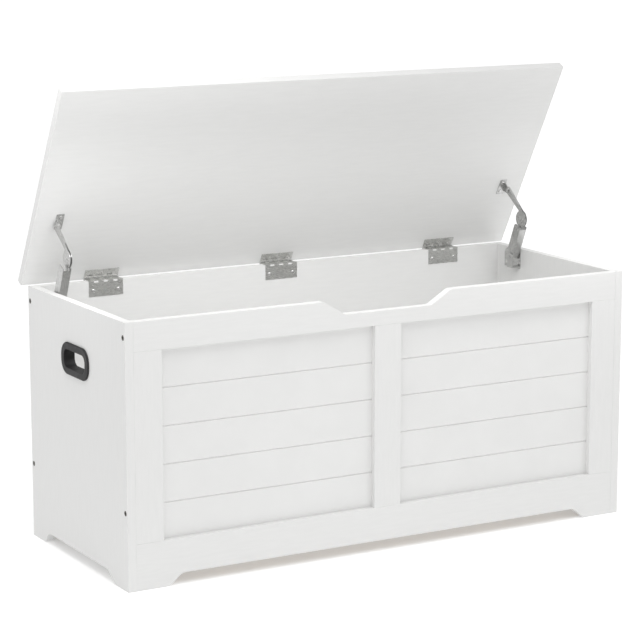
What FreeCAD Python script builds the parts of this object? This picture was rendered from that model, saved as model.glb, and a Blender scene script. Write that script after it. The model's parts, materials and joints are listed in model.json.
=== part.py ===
import FreeCAD, Part
import math
import os
import re
import Sketcher

# Storage bench: a lidded chest of melamine-faced boards on four feet, with cut-out hand grips,
# three wrap-over lid hinges and two sprung lid stays. It is modelled with the lid fully open.
# Millimetres. X runs along the bench, Y from the front face to the back, Z up from the floor.
# The origin is on the floor under the middle of the open bench's bounding box.

SIZES = [
    # carcass
    ("body_width", 980, "width over the two side panels"),
    ("body_depth", 390, "depth over the front frame and the back panel"),
    ("body_height", 445, "floor to the top edges of the carcass"),
    ("board", 15, "thickness of the carcass boards"),
    ("edge_round", 0.5, "eased edge of the front frame boards"),
    # feet
    ("arch_rise", 19.5, "height of the arches that leave the feet"),
    ("arch_run", 22, "length over which an arch slopes up"),
    ("arch_round", 16, "rounding of an arch's corners"),
    ("front_foot", 75, "width of a foot seen from the front"),
    ("side_foot", 51, "width of a foot seen from the side"),
    # front frame
    ("top_rail", 49.5, "height of the front top rail"),
    ("bottom_rail", 78.5, "floor to the top of the front bottom rail"),
    ("end_stile", 50, "width of the two end stiles"),
    ("centre_stile", 52, "width of the centre stile"),
    ("notch_top", 250, "finger notch in the top rail, width at its mouth"),
    ("notch_floor", 170, "finger notch, width at its floor"),
    ("notch_depth", 24.5, "finger notch, depth"),
    ("notch_round", 14, "rounding of the notch's corners"),
    ("panel_recess", 10, "front face of the frame to the face of the planked panels"),
    ("panel_lap", 8, "how far a panel reaches behind the frame on each side"),
    ("panel_play", 0.5, "gap round a panel's edge in its rabbet"),
    ("plank_pitch", 63.7, "distance between grooves of a planked panel"),
    ("plank_first", 60.7, "bottom rail's top to the first groove"),
    ("groove_width", 3.2, "groove between planks, width"),
    ("groove_depth", 1.8, "groove between planks, depth"),
    # floor of the chest
    ("floor_clear", 55, "ground to the underside of the chest's floor board"),
    ("batten", 20, "side of the square battens under the floor board"),
    ("batten_end", 40, "side panel to a batten's end"),
    # hand grips
    ("grip_below", 97, "carcass top to the middle of a hand grip"),
    ("grip_height", "=body_height - grip_below", "floor to the middle of a hand grip"),
    ("grip_from_front", 193, "front face to the middle of a hand grip"),
    ("grip_long", 108, "length of a grip's flange"),
    ("grip_tall", 55, "height of a grip's flange"),
    ("grip_band", 12, "width of the flange round the opening"),
    ("grip_proud", 3.4, "thickness of the flange"),
    ("grip_wall", 2, "wall of the sleeve through the side panel"),
    ("grip_fit", 0.2, "gap between the sleeve and its hole"),
    ("ring_band", 7, "width of the clip ring inside the chest"),
    ("ring_proud", 2, "thickness of the clip ring"),
    # side screws and dowels
    ("screw_low", 131, "floor to the lower side screws"),
    ("screw_below", 25.5, "carcass top to the upper side screws"),
    ("screw_high", "=body_height - screw_below", "floor to the upper side screws"),
    ("screw_head", 9, "diameter of a side screw's head"),
    ("screw_sunk", 3, "depth of a side screw's head"),
    ("screw_shank", 5, "diameter of a side screw's shank"),
    ("screw_long", 48, "length of a side screw"),
    ("socket_wide", 4, "diameter of a side screw's drive socket"),
    ("socket_deep", 2, "depth of a side screw's drive socket"),
    ("dowel", 8, "diameter of the floor board's dowels"),
    ("dowel_in_side", 10, "dowel's depth in a side panel"),
    ("dowel_in_floor", 20, "dowel's depth in the floor board"),
    ("peg", 6, "diameter of the front frame's dowels"),
    ("peg_half", 12, "how far a frame dowel enters each board"),
    ("bore_fit", 0.1, "radial clearance of screws and dowels in their bores"),
    # lid
    ("lid_over_side", 10, "overhang of the lid beyond each side panel"),
    ("lid_over_front", 5, "overhang of the closed lid in front of the carcass"),
    ("lid_over_back", 5, "overhang of the closed lid behind the carcass"),
    ("lid_width", "=body_width + 2 * lid_over_side", "width of the lid"),
    ("lid_depth", "=body_depth + lid_over_front + lid_over_back", "depth of the lid"),
    ("lid_board", 15, "thickness of the lid"),
    ("lid_round", 1, "eased edge of the lid"),
    ("lid_open", 61, "angle of the open lid, in degrees"),
    # hinges
    ("hinge_apart", 350, "middle hinge to an outer hinge"),
    ("hinge_width", 65, "width of a hinge"),
    ("leaf", 1.1, "thickness of a hinge leaf"),
    ("leaf_clear", 0.3, "gap between the two leaves when the lid is closed"),
    ("barrel_clear", 0.4, "gap between the barrel and the back panel, and the lid"),
    ("leaf_drop", 27, "height of the back leaf on the back panel's inner face"),
    ("leaf_reach", 21, "depth of the lid leaf on the lid"),
    ("barrel", 8, "diameter of a hinge's barrel"),
    ("knuckle_gap", 0.4, "gap between knuckles"),
    ("hinge_pin", 4, "diameter of a hinge pin"),
    ("pin_fit", 0.05, "radial clearance of the lid knuckles on the pin"),
    ("pin_end", 0.5, "how far a pin stands out of its barrel"),
    ("bend_slot", 9, "width of the slots in the back leaf's bend"),
    ("bend_slot_deep", 3, "reach of those slots over and down the bend"),
    ("tack_head", 7, "diameter of a small screw's head"),
    ("tack_tall", 1.3, "height of a small screw's head"),
    ("tack_shank", 3, "diameter of a small screw's shank"),
    ("tack_long", 11, "length of a small screw under its head"),
    ("tack_fit", 0.2, "radial clearance of a small screw in a metal plate"),
    ("sunk_head", 1, "depth of the flush heads of the lid leaf's screws"),
    ("sunk_fit", 0.15, "gap round those heads"),
    ("tack_inset", 8.5, "hinge's end to its outer screws"),
    ("tack_drop", 17, "carcass top to the screws in the back leaf"),
    ("tack_reach", 10, "lid's rear edge to the outer screws of the lid leaf"),
    ("tack_step", 5, "how much further the middle screw of the lid leaf lies"),
    # lid stays: places of the pivots, from the hinge line and the lid's underside
    ("foot_ahead", 88.4, "hinge line to a stay's foot pivot, forward"),
    ("foot_below", 13.1, "hinge line to a stay's foot pivot, down"),
    ("knee_ahead", 107.8, "hinge line to the knee of an open stay, forward"),
    ("knee_above", 67.7, "hinge line to the knee of an open stay, up"),
    ("head_reach", 132.2, "hinge line to a stay's head pivot, along the lid"),
    ("head_drop", 10.4, "lid's underside to a stay's head pivot"),
    ("channel_lean", 23.5, "lean of an open stay's channel, in degrees"),
    ("stay_wall", 1.2, "sheet thickness of a stay's channel"),
    ("stay_wide", 15, "width of a stay's channel"),
    ("stay_deep", 19.5, "depth of a stay's channel"),
    ("stay_tall", 66, "foot pivot to the top of the channel"),
    ("stay_sunk", 3, "foot pivot to the bottom of the channel"),
    ("stay_behind", 15.1, "foot pivot to the back of the channel"),
    ("stay_closed", 45, "foot pivot to where the channel's back opens"),
    ("web_drop", 4, "how far the channel's front stops short of its sides, clear of the cam"),
    ("stay_gap", 0.5, "gap between stacked stay pieces"),
    ("plunger_fit", 0.3, "gap round the plunger in its channel"),
    ("ear_round", 6.5, "radius of the ears round the foot pivot"),
    ("rivet", 2.5, "radius of the stay rivets"),
    ("rivet_fit", 0.08, "radial clearance of the pieces that turn on a rivet"),
    ("rivet_head", 4.2, "radius of a rivet's head"),
    ("rivet_tall", 1.1, "height of a rivet's head"),
    ("foot_plate", 1.5, "sheet thickness of the foot and head brackets"),
    ("foot_long", 51, "length of a foot bracket along the side panel"),
    ("foot_tall", 36, "height of a foot bracket"),
    ("foot_rear", 42, "how far a foot bracket reaches behind its pivot"),
    ("foot_top", 2, "carcass top to the foot bracket"),
    ("clip_long", 17, "length of the foot bracket's inner ear"),
    ("clip_tall", 18.5, "foot pivot to the shelf of the foot bracket"),
    ("cam_round", 15.5, "radius of the arm's cam"),
    ("cam_past", 8.5, "knee to the middle of the cam, past the knee"),
    ("cam_side", 2, "knee to the middle of the cam, across the arm and forward"),
    ("bar_side", 11, "line through the knee to the arm's middle at its cam, forward"),
    ("cheek", 1.1, "thickness of each of the cam's cheeks"),
    ("cheek_gap", 1.8, "gap between the cheeks, which takes the channel's tongue"),
    ("cheek_end", 15.8, "knee to where the cheeks join"),
    ("tongue", 1.2, "thickness of the channel's tongue"),
    ("tongue_end", 3, "radius of the tongue's end"),
    ("arm_width", 8, "width of the arm"),
    ("arm_head", 6, "radius of the arm's head"),
    ("bracket_long", 31, "length of the head bracket along the lid"),
    ("bracket_wide", 14, "width of the head bracket's foot"),
    ("bracket_rear", 14.8, "how far the head bracket reaches behind its pivot"),
    ("bracket_inset", 6, "head bracket's ends to its screws"),
    ("spring_wire", 1.4, "wire of a stay's spring"),
    ("spring_wide", 11, "outside diameter of a stay's spring"),
    ("spring_low", 4.2, "foot pivot to the spring's lower end"),
    ("spring_turns", 11, "turns of a stay's spring"),
    ("spring_pitch", 2.8, "pitch of a stay's spring"),
    ("plunger_long", 14.5, "length of a stay's plunger"),
]

PIVOT_Y = "(body_depth + barrel_clear + barrel/2)"
PIVOT_Z = "(body_height + 2*leaf + leaf_clear - barrel_clear - barrel/2)"
OPENED = "(lid_open*1deg)"
# the closed lid's underside and rear edge, from the hinge line
LID_UNDER = "(barrel/2 + barrel_clear)"
LID_BACK = "(lid_over_back - barrel_clear - barrel/2)"
# how far the open lid reaches behind the front face, which sets the middle of the bounding box
REACH = (f"({PIVOT_Y} + {LID_BACK}*cos{OPENED} + ({LID_UNDER} + lid_board)*sin{OPENED}"
         f" - lid_round*(cos{OPENED} + sin{OPENED} - 1))")
ORIGIN_Y = f"({REACH}/2)"
HEAD_Z = f"({LID_UNDER} - head_drop)"
HINGES = {"left": "-hinge_apart", "centre": "0", "right": "hinge_apart"}
SIDES = {"left": -1, "right": 1}
KNUCKLES = 7
PLANK_GROOVES = 4
OPEN_LID = FreeCAD.Vector(-1, 0, 0)

doc = FreeCAD.newDocument("StorageBench")
sheet = doc.addObject("Spreadsheet::Sheet", "Sizes")
for row, (alias, value, meaning) in enumerate(SIZES, start=1):
    sheet.set(f"A{row}", alias)
    sheet.set(f"B{row}", str(value))
    sheet.set(f"C{row}", meaning)
    sheet.setAlias(f"B{row}", alias)
doc.recompute()

ALIASES = {alias for alias, value, meaning in SIZES}
NODES = []


# ---------------------------------------------------------------- helpers

def on_sheet(formula):
    """A formula in plain size names, as an expression that reads the sheet."""
    return re.sub(r"[a-z_]+", lambda word: f"Sizes.{word[0]}" if word[0] in ALIASES else word[0], formula)


def size(alias):
    """A size's present value, as a number."""
    return float(getattr(sheet, alias))


def bind(thing, prop, formula):
    thing.setExpression(prop, on_sheet(formula))


def place(thing, x="0", y="0", z="0", axis=None, angle=None):
    """Put a piece at bench coordinates, turned by an angle about an axis through that place."""
    if axis is not None:
        thing.Placement = FreeCAD.Placement(FreeCAD.Vector(), FreeCAD.Rotation(axis, 10))
        bind(thing, "Placement.Rotation.Angle", f"({angle})*1deg")
    bind(thing, "Placement.Base.x", x)
    bind(thing, "Placement.Base.y", f"({y}) - {ORIGIN_Y}")
    bind(thing, "Placement.Base.z", z)


def on_lid(thing, x="0"):
    """Put a piece that is drawn on the closed lid, from the hinge line, in its open place."""
    place(thing, x, PIVOT_Y, PIVOT_Z, OPEN_LID, "lid_open")


def node(thing):
    """Mark a finished object as one of the bench's pieces."""
    NODES.append(thing)
    return thing


def body(label):
    piece = doc.addObject("PartDesign::Body", label)
    piece.Label = label
    return node(piece)


def sketch(piece, name, plane, lift="0"):
    """An empty sketch on one of a body's own planes, lifted along the plane's normal."""
    drawing = piece.newObject("Sketcher::SketchObject", f"{piece.Name}_{name}")
    origin_plane = [each for each in piece.Origin.OriginFeatures if each.Role == plane][0]
    drawing.AttachmentSupport = [(origin_plane, "")]
    drawing.MapMode = "FlatFace"
    bind(drawing, "AttachmentOffset.Base.z", lift)
    return drawing


def fix_point(drawing, geometry, position, across, up):
    """Tie a point of a sketch to two formulas, measured from the sketch's origin."""
    point = drawing.getPoint(geometry, position)
    for kind, value, formula in (("DistanceX", point.x, across), ("DistanceY", point.y, up)):
        index = drawing.addConstraint(Sketcher.Constraint(kind, -1, 1, geometry, position, value))
        bind(drawing, f"Constraints[{index}]", formula)


def draw_outline(drawing, points):
    """A closed outline of straight lines through points given as pairs of formulas."""
    count = len(points)
    first = drawing.GeometryCount
    start = [FreeCAD.Vector(100*math.cos(2*math.pi*i/count), 100*math.sin(2*math.pi*i/count), 0)
             for i in range(count)]
    for i in range(count):
        drawing.addGeometry(Part.LineSegment(start[i], start[(i + 1) % count]), False)
    for i in range(count):
        following = first + (i + 1) % count
        drawing.addConstraint(Sketcher.Constraint("Coincident", first + i, 2, following, 1))
    for i, (across, up) in enumerate(points):
        fix_point(drawing, first + i, 1, across, up)


def draw_rectangle(drawing, left, right, low, high):
    draw_outline(drawing, [(left, low), (right, low), (right, high), (left, high)])


def draw_circle(drawing, across, up, radius):
    first = drawing.GeometryCount
    drawing.addGeometry(Part.Circle(FreeCAD.Vector(0, 0, 0), FreeCAD.Vector(0, 0, 1), 5), False)
    fix_point(drawing, first, 3, across, up)
    index = drawing.addConstraint(Sketcher.Constraint("Radius", first, 5.0))
    bind(drawing, f"Constraints[{index}]", radius)


def pad(piece, drawing, length, both=False, back=False):
    """Raise a sketch to a solid: along its normal, against it, or half each way."""
    feature = piece.newObject("PartDesign::Pad", f"{drawing.Name}_pad")
    feature.Profile = drawing
    bind(feature, "Length", length)
    feature.Midplane = both
    feature.Reversed = back
    return feature


def cut(piece, drawing, depth=None, both=False, forward=False):
    """Cut a sketch out of a body, against its normal, forward along it, or all the way through."""
    doc.recompute()
    before = piece.Shape.Volume
    feature = piece.newObject("PartDesign::Pocket", f"{drawing.Name}_cut")
    feature.Profile = drawing
    feature.Midplane = both
    feature.Reversed = forward
    if depth is None:
        feature.Type = "ThroughAll"
    else:
        bind(feature, "Length", depth)
    doc.recompute()
    if piece.Shape.Volume > before - 0.01:
        raise RuntimeError(f"{feature.Name} cuts nothing")
    return feature


def edges_along(feature, direction, inside=None):
    """Names of a feature's straight edges along a direction, with their middles inside a box."""
    doc.recompute()
    names = []
    for number, edge in enumerate(feature.Shape.Edges, start=1):
        if not isinstance(edge.Curve, (Part.Line, Part.LineSegment)):
            continue
        run = edge.tangentAt(edge.FirstParameter)
        middle = edge.CenterOfMass
        if abs(abs(run.dot(direction)) - 1) < 1e-6 and (inside is None or inside.isInside(middle)):
            names.append(f"Edge{number}")
    return names


def round_edges(piece, names, radius):
    """Round some edges of a body's last feature."""
    feature = piece.newObject("PartDesign::Fillet", f"{piece.Name}_round{len(piece.Group)}")
    feature.Base = (piece.Group[-2], names)
    bind(feature, "Radius", radius)
    doc.recompute()
    return feature


def box(x_low, x_high, y_low, y_high, z_low, z_high):
    return FreeCAD.BoundBox(x_low, y_low, z_low, x_high, y_high, z_high)


FAR = 2000
ALONG_X = FreeCAD.Vector(1, 0, 0)
ALONG_Y = FreeCAD.Vector(0, 1, 0)
ALONG_Z = FreeCAD.Vector(0, 0, 1)


def layer(piece, name, side, near, thick, points=None, circle=None):
    """Add a plate to a lid stay piece: a profile across Y and Z, at a distance from the bench's middle."""
    sign = "-" if side < 0 else ""
    drawing = sketch(piece, name, "YZ_Plane", f"{sign}({near} + ({thick})/2)")
    if points is not None:
        draw_outline(drawing, points)
    if circle is not None:
        draw_circle(drawing, *circle)
    return pad(piece, drawing, thick, both=True)


def layer_hole(piece, name, side, near, thick, circle):
    """Cut a round hole across one plate of a lid stay piece."""
    sign = "-" if side < 0 else ""
    drawing = sketch(piece, name, "YZ_Plane", f"{sign}({near} + ({thick})/2)")
    draw_circle(drawing, *circle)
    return cut(piece, drawing, f"{thick} + 0.2", both=True)


def turned_to_x(kind, name, start):
    """A primitive whose own length is laid along +X from a start."""
    item = doc.addObject(kind, name)
    item.Placement = FreeCAD.Placement(FreeCAD.Vector(), FreeCAD.Rotation(ALONG_Y, 90))
    bind(item, "Placement.Base.x", start)
    return item


def side_screw(name):
    """A long screw along +X whose head's top is at x = 0, with a hexagonal socket in it."""
    head = turned_to_x("Part::Cylinder", f"{name}_head", "0")
    bind(head, "Radius", "screw_head/2")
    bind(head, "Height", "screw_sunk")
    shank = turned_to_x("Part::Cylinder", f"{name}_shank", "screw_sunk")
    bind(shank, "Radius", "screw_shank/2")
    bind(shank, "Height", "screw_long")
    joined = doc.addObject("Part::MultiFuse", f"{name}_joined")
    joined.Shapes = [head, shank]
    socket = turned_to_x("Part::Prism", f"{name}_socket", "0")
    socket.Polygon = 6
    bind(socket, "Circumradius", "socket_wide/2")
    bind(socket, "Height", "socket_deep")
    whole = doc.addObject("Part::Cut", f"{name}_whole")
    whole.Base = joined
    whole.Tool = socket
    return whole


def small_screw(name, flush=False):
    """A small screw along +X: its head stands before x = 0, or sinks behind it when flush."""
    head = turned_to_x("Part::Cone", f"{name}_head", "0" if flush else "-tack_tall")
    bind(head, "Radius1", "tack_shank/2 + sunk_head + 0.05" if flush else "tack_head/3.2")
    bind(head, "Radius2", "tack_shank/2 + 0.05" if flush else "tack_head/2")
    bind(head, "Height", "sunk_head" if flush else "tack_tall")
    shank = turned_to_x("Part::Cylinder", f"{name}_shank", "0")
    bind(shank, "Radius", "tack_shank/2")
    bind(shank, "Height", "tack_long")
    joined = doc.addObject("Part::MultiFuse", f"{name}_joined")
    joined.Shapes = [head, shank]
    return joined


def group(label, items):
    """One piece made of several separate solids, such as a set of like screws."""
    piece = doc.addObject("Part::Compound", label)
    piece.Label = label
    piece.Links = items
    return node(piece)


# ---------------------------------------------------------------- carcass

def arch_points(start, end, run):
    """The under edge of a board between two feet, from one foot to the other."""
    return [(start, "0"), (f"{start} + {run}", "arch_rise"), (f"{end} - {run}", "arch_rise"), (end, "0")]


def round_arch(piece, feature, direction):
    """Round the corners of an arch, which lie low on a board and away from its ends."""
    bounds = feature.Shape.BoundBox
    shrink = min(size("front_foot"), size("side_foot"))/2
    low = box(-FAR, FAR, -FAR, FAR, -1, size("arch_rise") + 1)
    if direction is ALONG_X:
        low = box(-FAR, FAR, bounds.YMin + shrink, bounds.YMax - shrink, -1, size("arch_rise") + 1)
    if direction is ALONG_Y:
        low = box(bounds.XMin + shrink, bounds.XMax - shrink, -FAR, FAR, -1, size("arch_rise") + 1)
    round_edges(piece, edges_along(feature, direction, low), "arch_round")


def grip_opening(drawing, margin):
    """The opening of a hand grip in a side view, larger all round by a margin."""
    half_long = f"(grip_long/2 - grip_band + {margin})"
    half_tall = f"(grip_tall/2 - grip_band + {margin})"
    draw_rectangle(drawing, f"grip_from_front - {half_long}", f"grip_from_front + {half_long}",
                   f"grip_height - {half_tall}", f"grip_height + {half_tall}")


def grip_box():
    """The part of a side panel that holds its hand grip."""
    reach = size("grip_long")/2 + 1
    rise = size("grip_tall")/2 + 1
    middle_y = size("grip_from_front")
    middle_z = size("grip_height")
    return box(-FAR, FAR, middle_y - reach, middle_y + reach, middle_z - rise, middle_z + rise)


def side_screw_places():
    """Where a side panel's screws go, as pairs of Y and Z."""
    depths = ("board/2", "body_depth - board/2")
    return [(across, up) for across in depths for up in ("screw_low", "screw_high")]


def floor_dowel_places():
    return [f"body_depth*{share}/4" for share in (1, 2, 3)]


FLOOR_MIDDLE = "(floor_clear + board/2)"


def side_panel(name, side):
    """An end of the chest: feet with an arch between them, and a hole for the hand grip."""
    panel = body(f"side_panel_{name}")
    outline = sketch(panel, "outline", "YZ_Plane")
    draw_outline(outline, arch_points("side_foot", "body_depth - side_foot", "arch_run + 6")
                 + [("body_depth", "0"), ("body_depth", "body_height"), ("0", "body_height"), ("0", "0")])
    slab = pad(panel, outline, "board")
    doc.recompute()
    round_arch(panel, slab, ALONG_X)
    opening = sketch(panel, "grip", "YZ_Plane")
    grip_opening(opening, "grip_wall + grip_fit")
    hole = cut(panel, opening, forward=True)
    round_edges(panel, edges_along(hole, ALONG_X, grip_box()), "grip_band + grip_wall + grip_fit")
    bores = sketch(panel, "bores", "YZ_Plane")
    for across, up in side_screw_places():
        draw_circle(bores, across, up, "screw_shank/2 + bore_fit")
    cut(panel, bores, forward=True)
    outer = "0" if side < 0 else "board"
    inner = "board" if side < 0 else "0"
    seats = sketch(panel, "seats", "YZ_Plane", outer)
    for across, up in side_screw_places():
        draw_circle(seats, across, up, "screw_head/2 + bore_fit")
    cut(panel, seats, "screw_sunk", forward=side < 0)
    dowels = sketch(panel, "dowels", "YZ_Plane", inner)
    for across in floor_dowel_places():
        draw_circle(dowels, across, FLOOR_MIDDLE, "dowel/2 + bore_fit")
    cut(panel, dowels, "dowel_in_side", forward=side > 0)
    tacks = sketch(panel, "tacks", "YZ_Plane", inner)
    for across, up in foot_screws():
        draw_circle(tacks, across, up, "tack_shank/2 + bore_fit")
    cut(panel, tacks, "tack_long - foot_plate", forward=side > 0)
    left_edge = "-body_width/2" if side < 0 else "body_width/2 - board"
    place(panel, left_edge)


def end_bores(piece, name, depth, z_low="0"):
    """Screw bores in both ends of a board that fits between the side panels."""
    for end, side in SIDES.items():
        drawing = sketch(piece, f"{name}_{end}", "YZ_Plane", f"{'-' if side < 0 else ''}(body_width/2 - board)")
        draw_circle(drawing, depth, z_low, "screw_shank/2 + bore_fit")
        cut(piece, drawing, "screw_long - (board - screw_sunk)", forward=side < 0)


def back_panel():
    """The back of the chest, which stands on the floor between the side panels."""
    panel = body("back_panel")
    outline = sketch(panel, "outline", "XZ_Plane")
    half = "(body_width/2 - board)"
    foot = "(body_width/2 - front_foot)"
    draw_outline(outline, [(f"-{half}", "0")] + arch_points(f"-{foot}", foot, "arch_run")
                 + [(half, "0"), (half, "body_height"), (f"-{half}", "body_height")])
    slab = pad(panel, outline, "board", back=True)
    doc.recompute()
    round_arch(panel, slab, ALONG_Y)
    end_bores(panel, "low", "board/2", "screw_low")
    end_bores(panel, "high", "board/2", "screw_high")
    tacks = sketch(panel, "tacks", "XZ_Plane")
    for middle in HINGES.values():
        for sign in ("-", "+"):
            draw_circle(tacks, f"{middle} {sign} (hinge_width/2 - tack_inset)",
                        "body_height - tack_drop", "tack_shank/2 + bore_fit")
    cut(panel, tacks, "tack_long - leaf")
    place(panel, y="body_depth - board")


def floor_board():
    """The chest's floor, doweled into the side panels."""
    board = body("floor_board")
    outline = sketch(board, "outline", "XY_Plane")
    half = "(body_width/2 - board)"
    draw_rectangle(outline, f"-{half}", half, "board", "body_depth - board")
    pad(board, outline, "board")
    for end, side in SIDES.items():
        drawing = sketch(board, f"dowels_{end}", "YZ_Plane", f"{'-' if side < 0 else ''}{half}")
        for across in floor_dowel_places():
            draw_circle(drawing, across, "board/2", "dowel/2 + bore_fit")
        cut(board, drawing, "dowel_in_floor", forward=side < 0)
    place(board, z="floor_clear")


def floor_battens():
    """Two battens under the floor board, one along the front frame and one along the back panel."""
    for name, start in (("front", "board"), ("back", "body_depth - board - batten")):
        strip = doc.addObject("Part::Box", f"floor_batten_{name}")
        strip.Label = f"floor_batten_{name}"
        bind(strip, "Length", "body_width - 2*board - 2*batten_end")
        bind(strip, "Width", "batten")
        bind(strip, "Height", "batten")
        place(strip, "-(body_width/2 - board - batten_end)", start, "floor_clear - batten")
        node(strip)


def rods_along_x(label, radius, length, places):
    """A set of like rods along X, each starting at one of the given places."""
    rods = []
    for number, (x, y, z) in enumerate(places):
        rod = doc.addObject("Part::Cylinder", f"{label}_{number}")
        bind(rod, "Radius", radius)
        bind(rod, "Height", length)
        rod.Placement = FreeCAD.Placement(FreeCAD.Vector(), FreeCAD.Rotation(ALONG_Y, 90))
        bind(rod, "Placement.Base.x", x)
        bind(rod, "Placement.Base.y", y)
        bind(rod, "Placement.Base.z", z)
        rods.append(rod)
    return group(label, rods)


def floor_dowels():
    length = "dowel_in_side + dowel_in_floor"
    starts = ("-(body_width/2 - board + dowel_in_side)", "body_width/2 - board - dowel_in_floor")
    places = [(x, y, FLOOR_MIDDLE) for x in starts for y in floor_dowel_places()]
    place(rods_along_x("floor_dowels", "dowel/2", length, places))


def side_screws(name, side):
    """The four screws that hold a side panel to the front frame and the back panel."""
    screws = []
    for number, (across, up) in enumerate(side_screw_places()):
        item = side_screw(f"side_screw_{name}_{number}")
        holder = doc.addObject("Part::Compound", f"side_screw_{name}_{number}_placed")
        holder.Links = [item]
        angle = 0 if side < 0 else 180
        holder.Placement = FreeCAD.Placement(FreeCAD.Vector(), FreeCAD.Rotation(ALONG_Z, angle))
        bind(holder, "Placement.Base.x", "-body_width/2" if side < 0 else "body_width/2")
        bind(holder, "Placement.Base.y", across)
        bind(holder, "Placement.Base.z", up)
        screws.append(holder)
    place(group(f"side_screws_{name}", screws))


# ---------------------------------------------------------------- front frame

LEFT_OPENING = ("-(body_width/2 - board - end_stile)", "-centre_stile/2")
RIGHT_OPENING = ("centre_stile/2", "body_width/2 - board - end_stile")
OPENING_LOW = "bottom_rail"
OPENING_HIGH = "(body_height - top_rail)"
STILE_PEGS = ("end_stile/4", "3*end_stile/4")


def peg_places():
    """Where the frame's dowels stand along X: two at each end of each stile."""
    inner = "(body_width/2 - board)"
    ends = [f"-{inner} + {place_}" for place_ in STILE_PEGS] + [f"{inner} - {place_}" for place_ in STILE_PEGS]
    return ends + ["-centre_stile/4", "centre_stile/4"]


def ease_front(piece):
    """Round the edges of a frame board's front face a little, so that its joints show as fine lines."""
    last = piece.Group[-1]
    doc.recompute()
    face = [number for number, face in enumerate(last.Shape.Faces, start=1)
            if abs(face.BoundBox.YMax) < 1e-6 and face.BoundBox.YLength < 1e-6]
    feature = piece.newObject("PartDesign::Fillet", f"{piece.Name}_ease")
    feature.Base = (last, [f"Face{number}" for number in face])
    bind(feature, "Radius", "edge_round")
    doc.recompute()


def rabbets(piece, spans):
    """Cut the steps that hold the planked panels out of the back of a frame board."""
    drawing = sketch(piece, "rabbets", "XZ_Plane", "-board")
    for left, right, low, high in spans:
        draw_rectangle(drawing, left, right, low, high)
    cut(piece, drawing, "board - panel_recess", forward=True)


def peg_bores(piece, name, places, height, downward):
    """Bores for the frame's dowels in a board's upper or lower edge."""
    drawing = sketch(piece, name, "XY_Plane", height)
    for across in places:
        draw_circle(drawing, across, "panel_recess/2", "peg/2 + bore_fit")
    cut(piece, drawing, "peg_half", forward=not downward)


def rail_outline(piece, points):
    outline = sketch(piece, "outline", "XZ_Plane")
    draw_outline(outline, points)
    slab = pad(piece, outline, "board", back=True)
    doc.recompute()
    return slab


def top_rail():
    """The upper board of the front frame, with the finger notch that opens the lid."""
    rail = body("front_top_rail")
    half = "(body_width/2 - board)"
    floor = "body_height - notch_depth"
    slab = rail_outline(rail, [(f"-{half}", OPENING_HIGH), (half, OPENING_HIGH), (half, "body_height"),
                               ("notch_top/2", "body_height"), ("notch_floor/2", floor),
                               ("-notch_floor/2", floor), ("-notch_top/2", "body_height"),
                               (f"-{half}", "body_height")])
    reach = size("notch_top")/2 + 1
    level = size("body_height") - size("notch_depth") - 1
    notch = box(-reach, reach, -FAR, FAR, level, FAR)
    round_edges(rail, edges_along(slab, ALONG_Y, notch), "notch_round")
    rabbets(rail, [(f"{left} - panel_lap - panel_play", f"{right} + panel_lap + panel_play",
                    OPENING_HIGH, f"{OPENING_HIGH} + panel_lap + panel_play")
                   for left, right in (LEFT_OPENING, RIGHT_OPENING)])
    peg_bores(rail, "pegs", peg_places(), OPENING_HIGH, downward=False)
    end_bores(rail, "screws", "board/2", "screw_high")
    ease_front(rail)
    place(rail)


def bottom_rail():
    """The lower board of the front frame, which stands on two feet."""
    rail = body("front_bottom_rail")
    half = "(body_width/2 - board)"
    foot = "(body_width/2 - front_foot)"
    slab = rail_outline(rail, [(f"-{half}", "0")] + arch_points(f"-{foot}", foot, "arch_run")
                        + [(half, "0"), (half, "bottom_rail"), (f"-{half}", "bottom_rail")])
    round_arch(rail, slab, ALONG_Y)
    rabbets(rail, [(f"{left} - panel_lap - panel_play", f"{right} + panel_lap + panel_play",
                    "bottom_rail - panel_lap - panel_play", "bottom_rail")
                   for left, right in (LEFT_OPENING, RIGHT_OPENING)])
    peg_bores(rail, "pegs", peg_places(), "bottom_rail", downward=True)
    ease_front(rail)
    place(rail)


def stile(label, left, right, steps, pegs, screw_side=None):
    """An upright of the front frame, between the two rails."""
    board = body(label)
    rail_outline(board, [(left, OPENING_LOW), (right, OPENING_LOW), (right, OPENING_HIGH), (left, OPENING_HIGH)])
    rabbets(board, [(low, high, OPENING_LOW, OPENING_HIGH) for low, high in steps])
    peg_bores(board, "pegs_low", pegs, OPENING_LOW, downward=False)
    peg_bores(board, "pegs_high", pegs, OPENING_HIGH, downward=True)
    if screw_side is not None:
        sign = "-" if screw_side < 0 else ""
        drawing = sketch(board, "screw", "YZ_Plane", f"{sign}(body_width/2 - board)")
        draw_circle(drawing, "board/2", "screw_low", "screw_shank/2 + bore_fit")
        cut(board, drawing, "screw_long - (board - screw_sunk)", forward=screw_side < 0)
    ease_front(board)
    place(board)


def stiles():
    places = peg_places()
    inner = "(body_width/2 - board)"
    step = "panel_lap + panel_play"
    stile("front_stile_left", f"-{inner}", f"-{inner} + end_stile",
          [(f"-{inner} + end_stile - {step.replace('+', '-')}", f"-{inner} + end_stile")], places[:2], -1)
    stile("front_stile_right", f"{inner} - end_stile", inner,
          [(f"{inner} - end_stile", f"{inner} - end_stile + {step}")], places[2:4], 1)
    stile("front_centre_stile", "-centre_stile/2", "centre_stile/2",
          [("-centre_stile/2", f"-centre_stile/2 + {step}"),
           (f"centre_stile/2 - {step.replace('+', '-')}", "centre_stile/2")], places[4:])


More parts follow.
